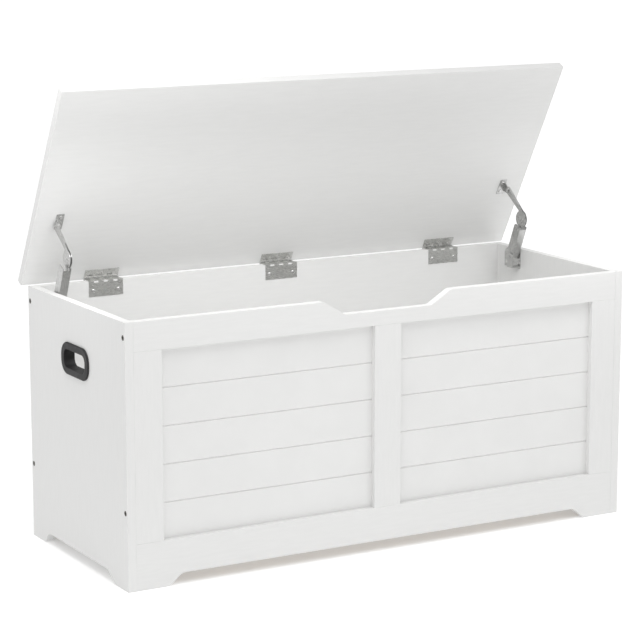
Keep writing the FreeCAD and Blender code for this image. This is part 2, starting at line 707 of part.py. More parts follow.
def planked_panel(label, left, right):
    """A thin panel scored into five planks, let into the back of the front frame."""
    panel = body(label)
    low = f"({OPENING_LOW} - panel_lap)"
    points = [("panel_recess", low)]
    for number in range(PLANK_GROOVES):
        middle = f"({OPENING_LOW} + plank_first + {number}*plank_pitch)"
        points += [("panel_recess", f"{middle} - groove_width/2"),
                   ("panel_recess + groove_depth", middle),
                   ("panel_recess", f"{middle} + groove_width/2")]
    points += [("panel_recess", f"{OPENING_HIGH} + panel_lap"), ("board", f"{OPENING_HIGH} + panel_lap"),
               ("board", low)]
    profile = sketch(panel, "profile", "YZ_Plane", f"{left} - panel_lap")
    draw_outline(profile, points)
    pad(panel, profile, f"({right}) - ({left}) + 2*panel_lap")
    place(panel)


def frame_pegs():
    """The dowels that join the stiles to the two rails."""
    pegs = []
    for number, across in enumerate(peg_places()):
        for level_name, level in (("low", OPENING_LOW), ("high", OPENING_HIGH)):
            peg = doc.addObject("Part::Cylinder", f"frame_peg_{number}_{level_name}")
            bind(peg, "Radius", "peg/2")
            bind(peg, "Height", "2*peg_half")
            bind(peg, "Placement.Base.x", across)
            bind(peg, "Placement.Base.y", "panel_recess/2")
            bind(peg, "Placement.Base.z", f"{level} - peg_half")
            pegs.append(peg)
    place(group("front_frame_dowels", pegs))


# ---------------------------------------------------------------- hand grips

def hand_grip(name, side):
    """A moulded grip: an outer flange with a sleeve that lines the hole in the side panel."""
    grip = body(f"hand_grip_{name}")
    away = side < 0
    flange = sketch(grip, "flange", "YZ_Plane")
    grip_opening(flange, "grip_band")
    plate = pad(grip, flange, "grip_proud", back=away)
    doc.recompute()
    round_edges(grip, edges_along(plate, ALONG_X), "2*grip_band")
    rounded = grip.Group[-1]
    outer_x = size("grip_proud")*side
    face = [f"Face{number}" for number, each in enumerate(rounded.Shape.Faces, start=1)
            if abs(each.CenterOfMass.x - outer_x) < 1e-6]
    rim = grip.newObject("PartDesign::Fillet", f"{grip.Name}_rim")
    rim.Base = (rounded, face)
    bind(rim, "Radius", "grip_proud*0.6")
    sleeve = sketch(grip, "sleeve", "YZ_Plane")
    grip_opening(sleeve, "grip_wall")
    pad(grip, sleeve, "board + ring_proud", back=not away)
    opening = sketch(grip, "opening", "YZ_Plane", f"{'-' if away else ''}(grip_proud)")
    grip_opening(opening, "0")
    hole = cut(grip, opening, forward=away)
    half_long = size("grip_long")/2 - size("grip_band") + 0.1
    half_tall = size("grip_tall")/2 - size("grip_band") + 0.1
    middle_y = size("grip_from_front")
    middle_z = size("grip_height")
    fingers = box(-FAR, FAR, middle_y - half_long, middle_y + half_long,
                  middle_z - half_tall, middle_z + half_tall)
    lined = round_edges(grip, edges_along(hole, ALONG_X, fingers), "grip_band")
    inside = box(0.1, FAR, -FAR, FAR, -FAR, FAR) if away else box(-FAR, -0.1, -FAR, FAR, -FAR, FAR)
    corners = set(edges_along(lined, ALONG_X, inside)) - set(edges_along(lined, ALONG_X, fingers))
    round_edges(grip, sorted(corners), "grip_band + grip_wall")
    place(grip, f"{'-' if away else ''}body_width/2")


def grip_ring(name, side):
    """The ring that clips round a grip's sleeve inside the chest."""
    ring = body(f"grip_ring_{name}")
    inward = side > 0
    outline = sketch(ring, "outline", "YZ_Plane")
    grip_opening(outline, "grip_wall + ring_band")
    plate = pad(ring, outline, "ring_proud", back=inward)
    doc.recompute()
    round_edges(ring, edges_along(plate, ALONG_X), "grip_band + grip_wall + ring_band")
    opening = sketch(ring, "opening", "YZ_Plane", "-ring_proud" if inward else "ring_proud")
    grip_opening(opening, "grip_wall + grip_fit")
    hole = cut(ring, opening, both=False, forward=inward)
    sleeve_half = size("grip_long")/2 - size("grip_band") + size("grip_wall") + size("grip_fit") + 0.1
    sleeve_rise = size("grip_tall")/2 - size("grip_band") + size("grip_wall") + size("grip_fit") + 0.1
    mouth = box(-FAR, FAR, size("grip_from_front") - sleeve_half, size("grip_from_front") + sleeve_half,
                size("grip_height") - sleeve_rise, size("grip_height") + sleeve_rise)
    round_edges(ring, edges_along(hole, ALONG_X, mouth), "grip_band + grip_wall + grip_fit")
    place(ring, f"{'-' if side < 0 else ''}(body_width/2 - board)")


# ---------------------------------------------------------------- lid and hinges

HEAD_SCREWS = (f"-head_reach - bracket_long + bracket_rear + bracket_inset",
               "-head_reach + bracket_rear - bracket_inset")


def lid():
    """The lid board, drawn closed and from the hinge line."""
    board = body("lid_board")
    outline = sketch(board, "outline", "XY_Plane", LID_UNDER)
    draw_rectangle(outline, "-lid_width/2", "lid_width/2", f"{LID_BACK} - lid_depth", LID_BACK)
    slab = pad(board, outline, "lid_board")
    doc.recompute()
    every_edge = [f"Edge{number}" for number in range(1, len(slab.Shape.Edges) + 1)]
    round_edges(board, every_edge, "lid_round")
    tacks = sketch(board, "tacks", "XY_Plane", LID_UNDER)
    for middle in HINGES.values():
        for shift, reach in leaf_screws():
            draw_circle(tacks, f"{middle} + {shift}", f"{LID_BACK} - {reach}", "tack_shank/2 + bore_fit")
    cut(board, tacks, "tack_long - leaf", forward=True)
    more = sketch(board, "bracket_tacks", "XY_Plane", LID_UNDER)
    for sign in ("-", ""):
        for across in HEAD_SCREWS:
            draw_circle(more, f"{sign}({HEAD_SCREW_X})", across, "tack_shank/2 + bore_fit")
    cut(board, more, "tack_long - foot_plate", forward=True)
    on_lid(board)


def leaf_screws():
    """The lid leaf's three screws: distance from the hinge's middle, and from the lid's rear edge."""
    side = "(hinge_width/2 - tack_inset)"
    return [(f"-{side}", "tack_reach"), ("0", "(tack_reach + tack_step)"), (side, "tack_reach")]


def knuckle_slots(piece, taken):
    """Cut a leaf's barrel away where the other leaf's knuckles sit."""
    drawing = sketch(piece, "slots", "XY_Plane", "barrel")
    wide = f"(hinge_width/{KNUCKLES})"
    reach = "(barrel/2 + barrel_clear)"
    for number in taken:
        left = f"-hinge_width/2 + {number}*{wide} - knuckle_gap/2"
        right = f"-hinge_width/2 + {number + 1}*{wide} + knuckle_gap/2"
        if number == 0:
            left = "-hinge_width/2 - 1"
        if number == KNUCKLES - 1:
            right = "hinge_width/2 + 1"
        draw_rectangle(drawing, left, right, f"-{reach}", reach)
    cut(piece, drawing)


def leaf_body(label, points, bore):
    """A leaf's folded sheet with a barrel along the hinge line."""
    piece = body(label)
    sheet_profile = sketch(piece, "sheet", "YZ_Plane")
    draw_outline(sheet_profile, points)
    pad(piece, sheet_profile, "hinge_width", both=True)
    barrel_profile = sketch(piece, "barrel", "YZ_Plane")
    draw_circle(barrel_profile, "0", "0", "barrel/2")
    pad(piece, barrel_profile, "hinge_width", both=True)
    bore_profile = sketch(piece, "bore", "YZ_Plane")
    draw_circle(bore_profile, "0", "0", bore)
    cut(piece, bore_profile, "hinge_width + 2", both=True)
    return piece


def back_leaf(name, middle):
    """The fixed leaf: down the back panel's inner face, over its top edge and into the barrel."""
    top = f"({LID_UNDER} - leaf - leaf_clear)"
    strap = f"({top} - leaf)"
    inner = "-(barrel/2 + barrel_clear + board)"
    outer = f"({inner} - leaf)"
    piece = leaf_body(f"hinge_back_leaf_{name}",
                      [(outer, f"{strap} - leaf_drop"), (inner, f"{strap} - leaf_drop"), (inner, strap),
                       ("0", strap), ("0", top), (outer, top)], "hinge_pin/2 + 0.02")
    lid_knuckles = range(1, KNUCKLES, 2)
    knuckle_slots(piece, lid_knuckles)
    slots = sketch(piece, "bend_slots", "XY_Plane", "barrel")
    for number in lid_knuckles:
        across = f"({number} + 0.5)*hinge_width/{KNUCKLES} - hinge_width/2"
        draw_rectangle(slots, f"{across} - bend_slot/2", f"{across} + bend_slot/2",
                       f"{outer} - 1", f"{outer} + bend_slot_deep")
    cut(piece, slots, f"barrel/2 + leaf + leaf_clear + bend_slot_deep")
    holes = sketch(piece, "holes", "XZ_Plane")
    for sign in ("-", ""):
        draw_circle(holes, f"{sign}(hinge_width/2 - tack_inset)", f"{strap} - tack_drop",
                    "tack_shank/2 + tack_fit")
    cut(piece, holes, both=True)
    place(piece, middle, PIVOT_Y, PIVOT_Z)


def lid_leaf(name, middle):
    """The moving leaf: flat on the lid's underside and rolled round the pin."""
    top = LID_UNDER
    under = f"({LID_UNDER} - leaf)"
    back = f"({LID_BACK} - leaf_reach)"
    piece = leaf_body(f"hinge_lid_leaf_{name}", [(back, under), ("0", under), ("0", top), (back, top)],
                      "hinge_pin/2 + pin_fit")
    back_knuckles = range(0, KNUCKLES, 2)
    knuckle_slots(piece, back_knuckles)
    holes = sketch(piece, "holes", "XY_Plane")
    for shift, reach in leaf_screws():
        draw_circle(holes, shift, f"{LID_BACK} - {reach}", "tack_shank/2 + tack_fit")
    drilled = cut(piece, holes, both=True)
    level = size("barrel")/2 + size("barrel_clear") - size("leaf")
    rims = [f"Edge{number}" for number, edge in enumerate(drilled.Shape.Edges, start=1)
            if isinstance(edge.Curve, Part.Circle) and edge.BoundBox.ZLength < 1e-6
            and abs(edge.BoundBox.ZMin - level) < 1e-4]
    sink = piece.newObject("PartDesign::Chamfer", f"{piece.Name}_sink")
    sink.Base = (drilled, rims)
    bind(sink, "Size", "sunk_head")
    on_lid(piece, middle)


def hinge_pin(name, middle):
    pin = doc.addObject("Part::Cylinder", f"hinge_pin_{name}")
    pin.Label = f"hinge_pin_{name}"
    bind(pin, "Radius", "hinge_pin/2")
    bind(pin, "Height", "hinge_width + 2*pin_end")
    pin.Placement = FreeCAD.Placement(FreeCAD.Vector(), FreeCAD.Rotation(ALONG_Y, 90))
    bind(pin, "Placement.Base.x", f"{middle} - hinge_width/2 - pin_end")
    bind(pin, "Placement.Base.y", f"{PIVOT_Y} - {ORIGIN_Y}")
    bind(pin, "Placement.Base.z", PIVOT_Z)
    node(pin)


def tack(name, x, y, z, axis, angle, flush=False):
    """A small screw at a place, turned from +X about an axis."""
    item = small_screw(name, flush)
    holder = doc.addObject("Part::Compound", f"{name}_placed")
    holder.Links = [item]
    holder.Placement = FreeCAD.Placement(FreeCAD.Vector(), FreeCAD.Rotation(axis, angle))
    bind(holder, "Placement.Base.x", x)
    bind(holder, "Placement.Base.y", y)
    bind(holder, "Placement.Base.z", z)
    return holder


def hinge_screws():
    """Two screws through each back leaf, and three through each lid leaf."""
    back = []
    for name, middle in HINGES.items():
        for number, sign in enumerate(("-", "+")):
            back.append(tack(f"back_tack_{name}_{number}", f"{middle} {sign} (hinge_width/2 - tack_inset)",
                             "body_depth - board - leaf", "body_height - tack_drop", ALONG_Z, 90))
    place(group("hinge_back_screws", back))
    lid_side = []
    for name, middle in HINGES.items():
        for number, (shift, reach) in enumerate(leaf_screws()):
            lid_side.append(tack(f"lid_tack_{name}_{number}", f"{middle} + {shift}", f"{LID_BACK} - {reach}",
                                 f"{LID_UNDER} - leaf", ALONG_Y, -90, flush=True))
    on_lid(group("hinge_lid_screws", lid_side))


# ---------------------------------------------------------------- lid stays

# Each stay stacks its plates outwards from the bench's middle: foot clip, channel, foot bracket.
INNER_FACE = "(body_width/2 - board)"
FOOT_NEAR = f"({INNER_FACE} - foot_plate)"
CHANNEL_NEAR = f"({FOOT_NEAR} - stay_gap - stay_wide)"
CLIP_NEAR = f"({CHANNEL_NEAR} - stay_gap - foot_plate)"
TONGUE_NEAR = f"({CHANNEL_NEAR} + stay_wall + (cheek_gap - tongue)/2 + cheek + rivet_tall + 0.9)"
ARM_NEAR = f"({TONGUE_NEAR} - (cheek_gap - tongue)/2 - cheek)"
ARM_THICK = "(2*cheek + cheek_gap)"
EAR_NEAR = f"({ARM_NEAR} - stay_gap*0.6 - foot_plate)"
HEAD_SCREW_X = f"{EAR_NEAR} + foot_plate - bracket_wide*0.6"

FOOT_Y = f"({PIVOT_Y} - foot_ahead)"
FOOT_Z = f"({PIVOT_Z} - foot_below)"
KNEE_Y = f"({PIVOT_Y} - knee_ahead)"
KNEE_Z = f"({PIVOT_Z} + knee_above)"
HEAD_Y = f"({PIVOT_Y} - head_reach*cos{OPENED} + {HEAD_Z}*sin{OPENED})"
HEAD_UP = f"({PIVOT_Z} + head_reach*sin{OPENED} + {HEAD_Z}*cos{OPENED})"



def foot_screws():
    """The foot bracket's three screws into the side panel, as pairs of Y and Z."""
    low = f"({FOOT_Z} - 14)"
    high = "(body_height - foot_top - 6)"
    return [(f"{FOOT_Y} + foot_rear - 6", high), (f"{FOOT_Y} + foot_rear - 6", low),
            (f"{FOOT_Y} - foot_long + foot_rear + 5", low)]


def round_outline(middle_y, middle_z, radius, first, last, steps):
    """Points along an arc, with angles in degrees from +Y towards +Z."""
    points = []
    for number in range(steps + 1):
        angle = first + (last - first)*number/steps
        points.append((f"{middle_y} + {radius}*cos({angle:.1f}deg)", f"{middle_z} + {radius}*sin({angle:.1f}deg)"))
    return points


def stay_foot(name, side):
    """The bracket on the side panel: a plate, a shelf under the pivot and an inner ear."""
    bracket = body(f"stay_foot_bracket_{name}")
    rear = f"{FOOT_Y} + foot_rear"
    front = f"{FOOT_Y} + foot_rear - foot_long"
    top = "body_height - foot_top"
    low = f"{top} - foot_tall"
    layer(bracket, "plate", side, FOOT_NEAR, "foot_plate",
          [(front, low), (rear, low), (rear, f"{top} - 9"), (f"{rear} - 9", top), (front, top)])
    shelf_far = f"({INNER_FACE} - {CLIP_NEAR})"
    ear_rear = f"{FOOT_Y} + clip_long/2"
    ear_front = f"{FOOT_Y} - clip_long/2"
    shelf_top = f"{FOOT_Z} - clip_tall"
    layer(bracket, "shelf", side, CLIP_NEAR, shelf_far,
          [(ear_front, f"{shelf_top} - foot_plate"), (ear_rear, f"{shelf_top} - foot_plate"),
           (ear_rear, shelf_top), (ear_front, shelf_top)])
    layer(bracket, "ear", side, CLIP_NEAR, "foot_plate",
          [(ear_front, f"{shelf_top} - foot_plate"), (ear_rear, f"{shelf_top} - foot_plate")]
          + round_outline(FOOT_Y, FOOT_Z, "clip_long/2", 0, 180, 12))
    for number, (across, up) in enumerate(foot_screws()):
        layer_hole(bracket, f"hole{number}", side, FOOT_NEAR, "foot_plate",
                   (across, up, "tack_shank/2 + tack_fit"))
    layer_hole(bracket, "seat_near", side, CLIP_NEAR, "foot_plate", (FOOT_Y, FOOT_Z, "rivet"))
    layer_hole(bracket, "seat_far", side, FOOT_NEAR, "foot_plate", (FOOT_Y, FOOT_Z, "rivet"))
    place(bracket)


def stay_foot_rivet(name, side):
    rivet = body(f"stay_foot_rivet_{name}")
    layer(rivet, "head", side, f"{CLIP_NEAR} - rivet_tall", "rivet_tall", circle=(FOOT_Y, FOOT_Z, "rivet_head"))
    layer(rivet, "shank", side, CLIP_NEAR, f"({INNER_FACE} - {CLIP_NEAR})", circle=(FOOT_Y, FOOT_Z, "rivet"))
    place(rivet)


def stay_foot_screws(name, side):
    screws = []
    sign = "-" if side < 0 else ""
    for number, (across, up) in enumerate(foot_screws()):
        screws.append(tack(f"foot_tack_{name}_{number}", f"{sign}{FOOT_NEAR}", across, up,
                           ALONG_Z, 180 if side < 0 else 0))
    place(group(f"stay_foot_screws_{name}", screws))


# The channel is drawn from the foot pivot with its length along Z, and then leant forward.
CHANNEL_REAR = "stay_behind"
CHANNEL_FRONT = "(stay_behind - stay_deep)"
CHANNEL_MID = "(stay_behind - stay_deep/2)"
LEAN = "(channel_lean*1deg)"
KNEE_ALONG = f"((knee_ahead - foot_ahead)*sin{LEAN} + (knee_above + foot_below)*cos{LEAN})"
KNEE_ACROSS = f"((foot_ahead - knee_ahead)*cos{LEAN} + (knee_above + foot_below)*sin{LEAN})"


def stay_channel(name, side):
    """The folded steel channel that turns on the foot pivot and carries the tongue of the knee."""
    channel = body(f"stay_channel_{name}")
    far_wall = f"({CHANNEL_NEAR} + stay_wide - stay_wall)"
    web = f"{CHANNEL_FRONT} + stay_wall"
    wall = ([(CHANNEL_REAR, "-stay_sunk"), (CHANNEL_REAR, "stay_tall - 3"), (f"{CHANNEL_REAR} - 3", "stay_tall"),
             (CHANNEL_FRONT, "stay_tall"), (CHANNEL_FRONT, "0")]
            + round_outline("0", "0", f"-{CHANNEL_FRONT}", 190, 310, 8))
    layer(channel, "near_wall", side, CHANNEL_NEAR, "stay_wall", wall)
    layer(channel, "front_web", side, CHANNEL_NEAR, "stay_wide",
          [(CHANNEL_FRONT, "0"), (web, "0"), (web, "stay_tall - web_drop"),
           (CHANNEL_FRONT, "stay_tall - web_drop")])
    layer(channel, "far_wall", side, far_wall, "stay_wall", wall)
    layer(channel, "back_web", side, CHANNEL_NEAR, "stay_wide",
          [(f"{CHANNEL_REAR} - stay_wall", "-stay_sunk"), (CHANNEL_REAR, "-stay_sunk"),
           (CHANNEL_REAR, "stay_closed"), (f"{CHANNEL_REAR} - stay_wall", "stay_closed")])
    layer(channel, "tongue", side, TONGUE_NEAR, "tongue",
          [(CHANNEL_FRONT, "stay_tall - 14"), (f"{CHANNEL_FRONT} + 8", "stay_tall - 14"),
           (f"{KNEE_ACROSS} + tongue_end", KNEE_ALONG)]
          + round_outline(KNEE_ACROSS, KNEE_ALONG, "tongue_end", 30, 150, 4)
          + [(f"{KNEE_ACROSS} - tongue_end", KNEE_ALONG), (CHANNEL_FRONT, "stay_tall - web_drop - 2")])
    layer_hole(channel, "foot_hole", side, CHANNEL_NEAR, "stay_wide", ("0", "0", "rivet + rivet_fit"))
    place(channel, "0", FOOT_Y, FOOT_Z, ALONG_X, "channel_lean")


SPRING_X = f"({CHANNEL_NEAR} + stay_wide/2)"


def stay_spring(name, side):
    """The coil spring in the channel, drawn along the channel."""
    turn = doc.addObject("Part::Helix", f"spring_path_{name}")
    bind(turn, "Pitch", "spring_pitch")
    bind(turn, "Height", "spring_pitch*spring_turns")
    bind(turn, "Radius", "spring_wide/2 - spring_wire/2")
    wire = doc.addObject("Part::Circle", f"spring_section_{name}")
    bind(wire, "Radius", "spring_wire/2")
    wire.Placement = FreeCAD.Placement(FreeCAD.Vector(), FreeCAD.Rotation(ALONG_X, 90))
    bind(wire, "Placement.Base.x", "spring_wide/2 - spring_wire/2")
    coil = doc.addObject("Part::Sweep", f"spring_coil_{name}")
    coil.Sections = [wire]
    coil.Spine = (turn, [])
    coil.Solid = True
    coil.Frenet = True
    bind(coil, "Placement.Base.x", f"{'-' if side < 0 else ''}{SPRING_X}")
    bind(coil, "Placement.Base.y", CHANNEL_MID)
    bind(coil, "Placement.Base.z", "spring_low")
    place(group(f"stay_spring_{name}", [coil]), "0", FOOT_Y, FOOT_Z, ALONG_X, "channel_lean")


def stay_plunger(name, side):
    """The moulded plunger that slides in the channel on top of the spring."""
    plunger = body(f"stay_plunger_{name}")
    block = sketch(plunger, "block", "XY_Plane", "spring_low + spring_pitch*spring_turns + spring_wire/2 + 0.1")
    middle = f"{'-' if side < 0 else ''}{SPRING_X}"
    half = "(stay_wide/2 - stay_wall - plunger_fit)"
    deep = "(stay_deep/2 - stay_wall - plunger_fit)"
    draw_rectangle(block, f"{middle} - {half}", f"{middle} + {half}",
                   f"{CHANNEL_MID} - {deep}", f"{CHANNEL_MID} + {deep}")
    slab = pad(plunger, block, "plunger_long")
    top = size("spring_low") + size("spring_pitch")*size("spring_turns") + size("plunger_long")
    round_edges(plunger, edges_along(slab, ALONG_X, box(-FAR, FAR, -FAR, FAR, top, FAR)), "plunger_long/4")
    place(plunger, "0", FOOT_Y, FOOT_Z, ALONG_X, "channel_lean")


# The arm is drawn from the knee with its length along Z, and then leant back to the head pivot.
ARM_RUN_Y = f"({HEAD_Y} - {KNEE_Y})"
ARM_RUN_Z = f"({HEAD_UP} - {KNEE_Z})"
ARM_LONG = f"sqrt({ARM_RUN_Y}^2 + {ARM_RUN_Z}^2)"
ARM_LEAN = f"atan2({ARM_RUN_Y}; {ARM_RUN_Z})/1deg"


def stay_arm(name, side):
    """The arm from the knee to the lid: a bar with a round head and a cam of two cheeks."""
    arm = body(f"stay_arm_{name}")
    outline = ([("-bar_side - arm_width/2", "0")]
               + [("-arm_head*0.9", f"{ARM_LONG} + arm_head*0.4")]
               + round_outline("0", ARM_LONG, "arm_head", 130, -10, 8)
               + [("-bar_side + arm_width/2", "cam_round*0.4"), ("0", "-cam_past")])
    layer(arm, "bar", side, ARM_NEAR, ARM_THICK, outline)
    layer(arm, "cam", side, ARM_NEAR, ARM_THICK, circle=("-cam_side", "-cam_past", "cam_round"))
    sign = "-" if side < 0 else ""
    gap = sketch(arm, "gap", "YZ_Plane", f"{sign}({ARM_NEAR} + {ARM_THICK}/2)")
    draw_rectangle(gap, "-cam_side - cam_round - 4", "-cam_side + cam_round + 2",
                   "-cam_past - cam_round - 2", "cheek_end")
    cut(arm, gap, "cheek_gap", both=True)
    layer_hole(arm, "head_hole", side, ARM_NEAR, ARM_THICK, ("0", ARM_LONG, "rivet + rivet_fit"))
    place(arm, "0", KNEE_Y, KNEE_Z, OPEN_LID, ARM_LEAN)


def stay_knee_rivet(name, side):
    """The rivet through the cam's cheeks; its shank is left out between them, clear of the tongue."""
    heads = []
    ends = (f"{ARM_NEAR} - rivet_tall", f"{ARM_NEAR} + {ARM_THICK} - cheek")
    for number, near in enumerate(ends):
        head = doc.addObject("Part::Cylinder", f"knee_rivet_{name}_{number}")
        bind(head, "Radius", "rivet_head")
        bind(head, "Height", "rivet_tall")
        head.Placement = FreeCAD.Placement(FreeCAD.Vector(), FreeCAD.Rotation(ALONG_Y, 90))
        start = f"{near}" if number == 0 else f"{near} + cheek"
        bind(head, "Placement.Base.x", start if side > 0 else f"-({start}) - rivet_tall")
        bind(head, "Placement.Base.y", "-cam_side")
        bind(head, "Placement.Base.z", "-cam_past - cam_round/4")
        heads.append(head)
    piece = group(f"stay_knee_rivet_{name}", heads)
    place(piece, "0", KNEE_Y, KNEE_Z, OPEN_LID, ARM_LEAN)


def stay_head(name, side):
    """The angle bracket on the lid's underside that holds the head pivot."""
    bracket = body(f"stay_head_bracket_{name}")
    foot_near = f"({EAR_NEAR} + foot_plate - bracket_wide)"
    under = LID_UNDER
    rear = "(-head_reach + bracket_rear)"
    front = f"({rear} - bracket_long)"
    layer(bracket, "foot", side, foot_near, "bracket_wide",
          [(front, f"{under} - foot_plate"), (rear, f"{under} - foot_plate"), (rear, under), (front, under)])
    layer(bracket, "ear", side, EAR_NEAR, "foot_plate",
          [("-head_reach - arm_head - 3", under), ("-head_reach - arm_head", HEAD_Z)]
          + round_outline("-head_reach", HEAD_Z, "arm_head", 190, 350, 10)
          + [("-head_reach + arm_head", HEAD_Z), ("-head_reach + arm_head + 3", under)])
    layer_hole(bracket, "seat", side, EAR_NEAR, "foot_plate", ("-head_reach", HEAD_Z, "rivet"))
    sign = "-" if side < 0 else ""
    holes = sketch(bracket, "holes", "XY_Plane", f"{LID_UNDER} - foot_plate/2")
    for across in HEAD_SCREWS:
        draw_circle(holes, f"{sign}({HEAD_SCREW_X})", across, "tack_shank/2 + tack_fit")
    cut(bracket, holes, "foot_plate + 1", both=True)
    on_lid(bracket)


def stay_head_rivet(name, side):
    rivet = body(f"stay_head_rivet_{name}")
    centre = ("-head_reach", HEAD_Z)
    through = f"(foot_plate + stay_gap*0.6 + {ARM_THICK} + 0.2)"
    layer(rivet, "near_head", side, f"{EAR_NEAR} - rivet_tall", "rivet_tall", circle=(*centre, "rivet_head"))
    layer(rivet, "shank", side, EAR_NEAR, through, circle=(*centre, "rivet"))
    layer(rivet, "far_head", side, f"{EAR_NEAR} + {through}", "rivet_tall", circle=(*centre, "rivet_head"))
    on_lid(rivet)


def stay_head_screws(name, side):
    screws = []
    sign = "-" if side < 0 else ""
    for number, across in enumerate(HEAD_SCREWS):
        screws.append(tack(f"head_tack_{name}_{number}", f"{sign}({HEAD_SCREW_X})", across,
                           f"{LID_UNDER} - foot_plate", ALONG_Y, -90))
    on_lid(group(f"stay_head_screws_{name}", screws))


# ---------------------------------------------------------------- assembly

def build():
    for name, side in SIDES.items():
        side_panel(name, side)
        side_screws(name, side)
        hand_grip(name, side)
        grip_ring(name, side)
    back_panel()
    floor_board()
    floor_battens()
    floor_dowels()
    top_rail()
    bottom_rail()
    stiles()
    planked_panel("front_panel_left", *LEFT_OPENING)
    planked_panel("front_panel_right", *RIGHT_OPENING)
    frame_pegs()
    lid()
    for name, middle in HINGES.items():
        back_leaf(name, middle)
        lid_leaf(name, middle)
        hinge_pin(name, middle)
    hinge_screws()
    for name, side in SIDES.items():
        stay_foot(name, side)
        stay_foot_rivet(name, side)
        stay_foot_screws(name, side)
        stay_channel(name, side)
        stay_spring(name, side)
        stay_plunger(name, side)
        stay_arm(name, side)
        stay_knee_rivet(name, side)
        stay_head(name, side)
        stay_head_rivet(name, side)
        stay_head_screws(name, side)
    doc.recompute()


def export():
    """Check every object, then write each piece to its own file."""
    for thing in doc.Objects:
        if "Invalid" in thing.State or "Error" in thing.State:
            raise RuntimeError(f"{thing.Name} failed: {thing.State}")
    for piece in NODES:
        if piece.Shape.isNull() or not piece.Shape.isValid() or not piece.Shape.Solids:
            raise RuntimeError(f"{piece.Label} has no valid solid")
    os.makedirs("parts", exist_ok=True)
    for piece in NODES:
        piece.Shape.exportStep(f"parts/{piece.Label}.step")
        print(piece.Label, len(piece.Shape.Solids), round(piece.Shape.Volume))


build()
export()
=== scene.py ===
import json
import logging
import math
from dataclasses import dataclass, field
from enum import Enum
from typing import Any, Iterable, Sequence

import bmesh
import bpy
from mathutils import Matrix, Vector


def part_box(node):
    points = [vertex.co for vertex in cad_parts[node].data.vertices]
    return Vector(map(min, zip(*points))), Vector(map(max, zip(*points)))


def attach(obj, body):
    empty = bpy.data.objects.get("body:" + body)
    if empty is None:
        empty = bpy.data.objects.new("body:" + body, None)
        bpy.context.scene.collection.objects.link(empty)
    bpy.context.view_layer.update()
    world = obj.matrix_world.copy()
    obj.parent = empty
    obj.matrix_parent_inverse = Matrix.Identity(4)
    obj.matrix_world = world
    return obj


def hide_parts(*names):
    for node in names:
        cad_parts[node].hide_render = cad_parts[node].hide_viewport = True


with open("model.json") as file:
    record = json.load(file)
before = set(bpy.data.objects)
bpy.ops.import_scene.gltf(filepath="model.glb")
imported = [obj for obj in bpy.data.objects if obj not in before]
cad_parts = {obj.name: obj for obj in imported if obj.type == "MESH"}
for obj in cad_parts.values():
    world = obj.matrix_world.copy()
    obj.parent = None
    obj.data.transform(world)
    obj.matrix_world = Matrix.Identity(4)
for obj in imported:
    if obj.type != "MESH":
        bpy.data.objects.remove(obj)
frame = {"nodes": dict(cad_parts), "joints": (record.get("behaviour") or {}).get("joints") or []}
log = logging.getLogger("storage_bench")

MM = 0.001
LEFT_RIGHT = ("left", "right")
HINGE_PLACES = ("left", "centre", "right")
SMOOTH_BELOW = math.radians(38)
CORNER_ABOVE = math.radians(40)
FLAT_WITHIN = math.radians(0.5)
WELD = 1e-6
TIP_WITHIN = 0.05 * MM
FIRM_WEIGHT = 100
QUARTER_TURN = math.pi / 2

# a noise pattern seldom leaves this range
PATTERN_LOW = 0.3
PATTERN_HIGH = 0.7
PATTERN_SOFTNESS = 0.55

# sockets that share a name with others of their node go by number
MIX_FIRST = 6
MIX_SECOND = 7
MIX_RESULT = 2
RANDOM_LEAST = 2
RANDOM_MOST = 3
RANDOM_VALUE = 1

CONFIRMAT_SEED = 11
STAY_FOOT_SEED = 21
STAY_HEAD_SEED = 31
HINGE_BACK_SEED = 41
HINGE_LID_SEED = 51
RIVET_SEED = 61


class Grain(Enum):
    """The way the board's facing runs, as the pattern's stretch along X, Y and Z."""

    ALONG_X = (0.12, 1.0, 1.0)
    ALONG_Z = (1.0, 1.0, 0.12)
    NONE = (1.0, 1.0, 1.0)


class Drive(Enum):
    """The recess a driver fits into."""

    CROSS = "cross"
    HEXAGON = "hexagon"


# ---------------------------------------------------------------- node helpers

def linear(hex_colour: str) -> tuple[float, float, float, float]:
    """Turn an sRGB hex colour into the linear values that shaders take.

    Args:
        hex_colour: six hex digits, with or without a leading hash.

    Returns:
        Linear red, green, blue and an alpha of one.
    """
    digits = hex_colour.lstrip("#")
    channels = [int(digits[i:i + 2], 16) / 255 for i in (0, 2, 4)]
    curve = [c / 12.92 if c <= 0.04045 else ((c + 0.055) / 1.055) ** 2.4 for c in channels]
    return (curve[0], curve[1], curve[2], 1.0)


def per_mm(size_mm: float) -> float:
    """The texture scale at which one feature of a pattern is this many millimetres."""
    return 1.0 / (size_mm * MM)


def add_node(
    tree: bpy.types.NodeTree,
    kind: str,
    settings: dict[str, Any] | None = None,
    inputs: dict[str | int, Any] | None = None,
) -> bpy.types.Node:
    """Add one node with its settings, and set or link its inputs.

    Args:
        tree: the node tree that gets the node.
        kind: the node's type name.
        settings: properties of the node itself.
        inputs: input name or number to a value, or to an output socket to link from.

    Returns:
        The new node.
    """
    node = tree.nodes.new(kind)
    for name, value in (settings or {}).items():
        setattr(node, name, value)
    for name, value in (inputs or {}).items():
        socket = node.inputs[name]
        if isinstance(value, bpy.types.NodeSocket):
            tree.links.new(value, socket)
        else:
            socket.default_value = value
    return node


def new_material(name: str) -> tuple[bpy.types.Material, bpy.types.NodeTree]:
    """Start an empty node material.

    Args:
        name: the material's name.

    Returns:
        The material and its emptied node tree.
    """
    material = bpy.data.materials.new(name)
    material.use_nodes = True
    material.node_tree.nodes.clear()
    return material, material.node_tree


# ---------------------------------------------------------------- finishes

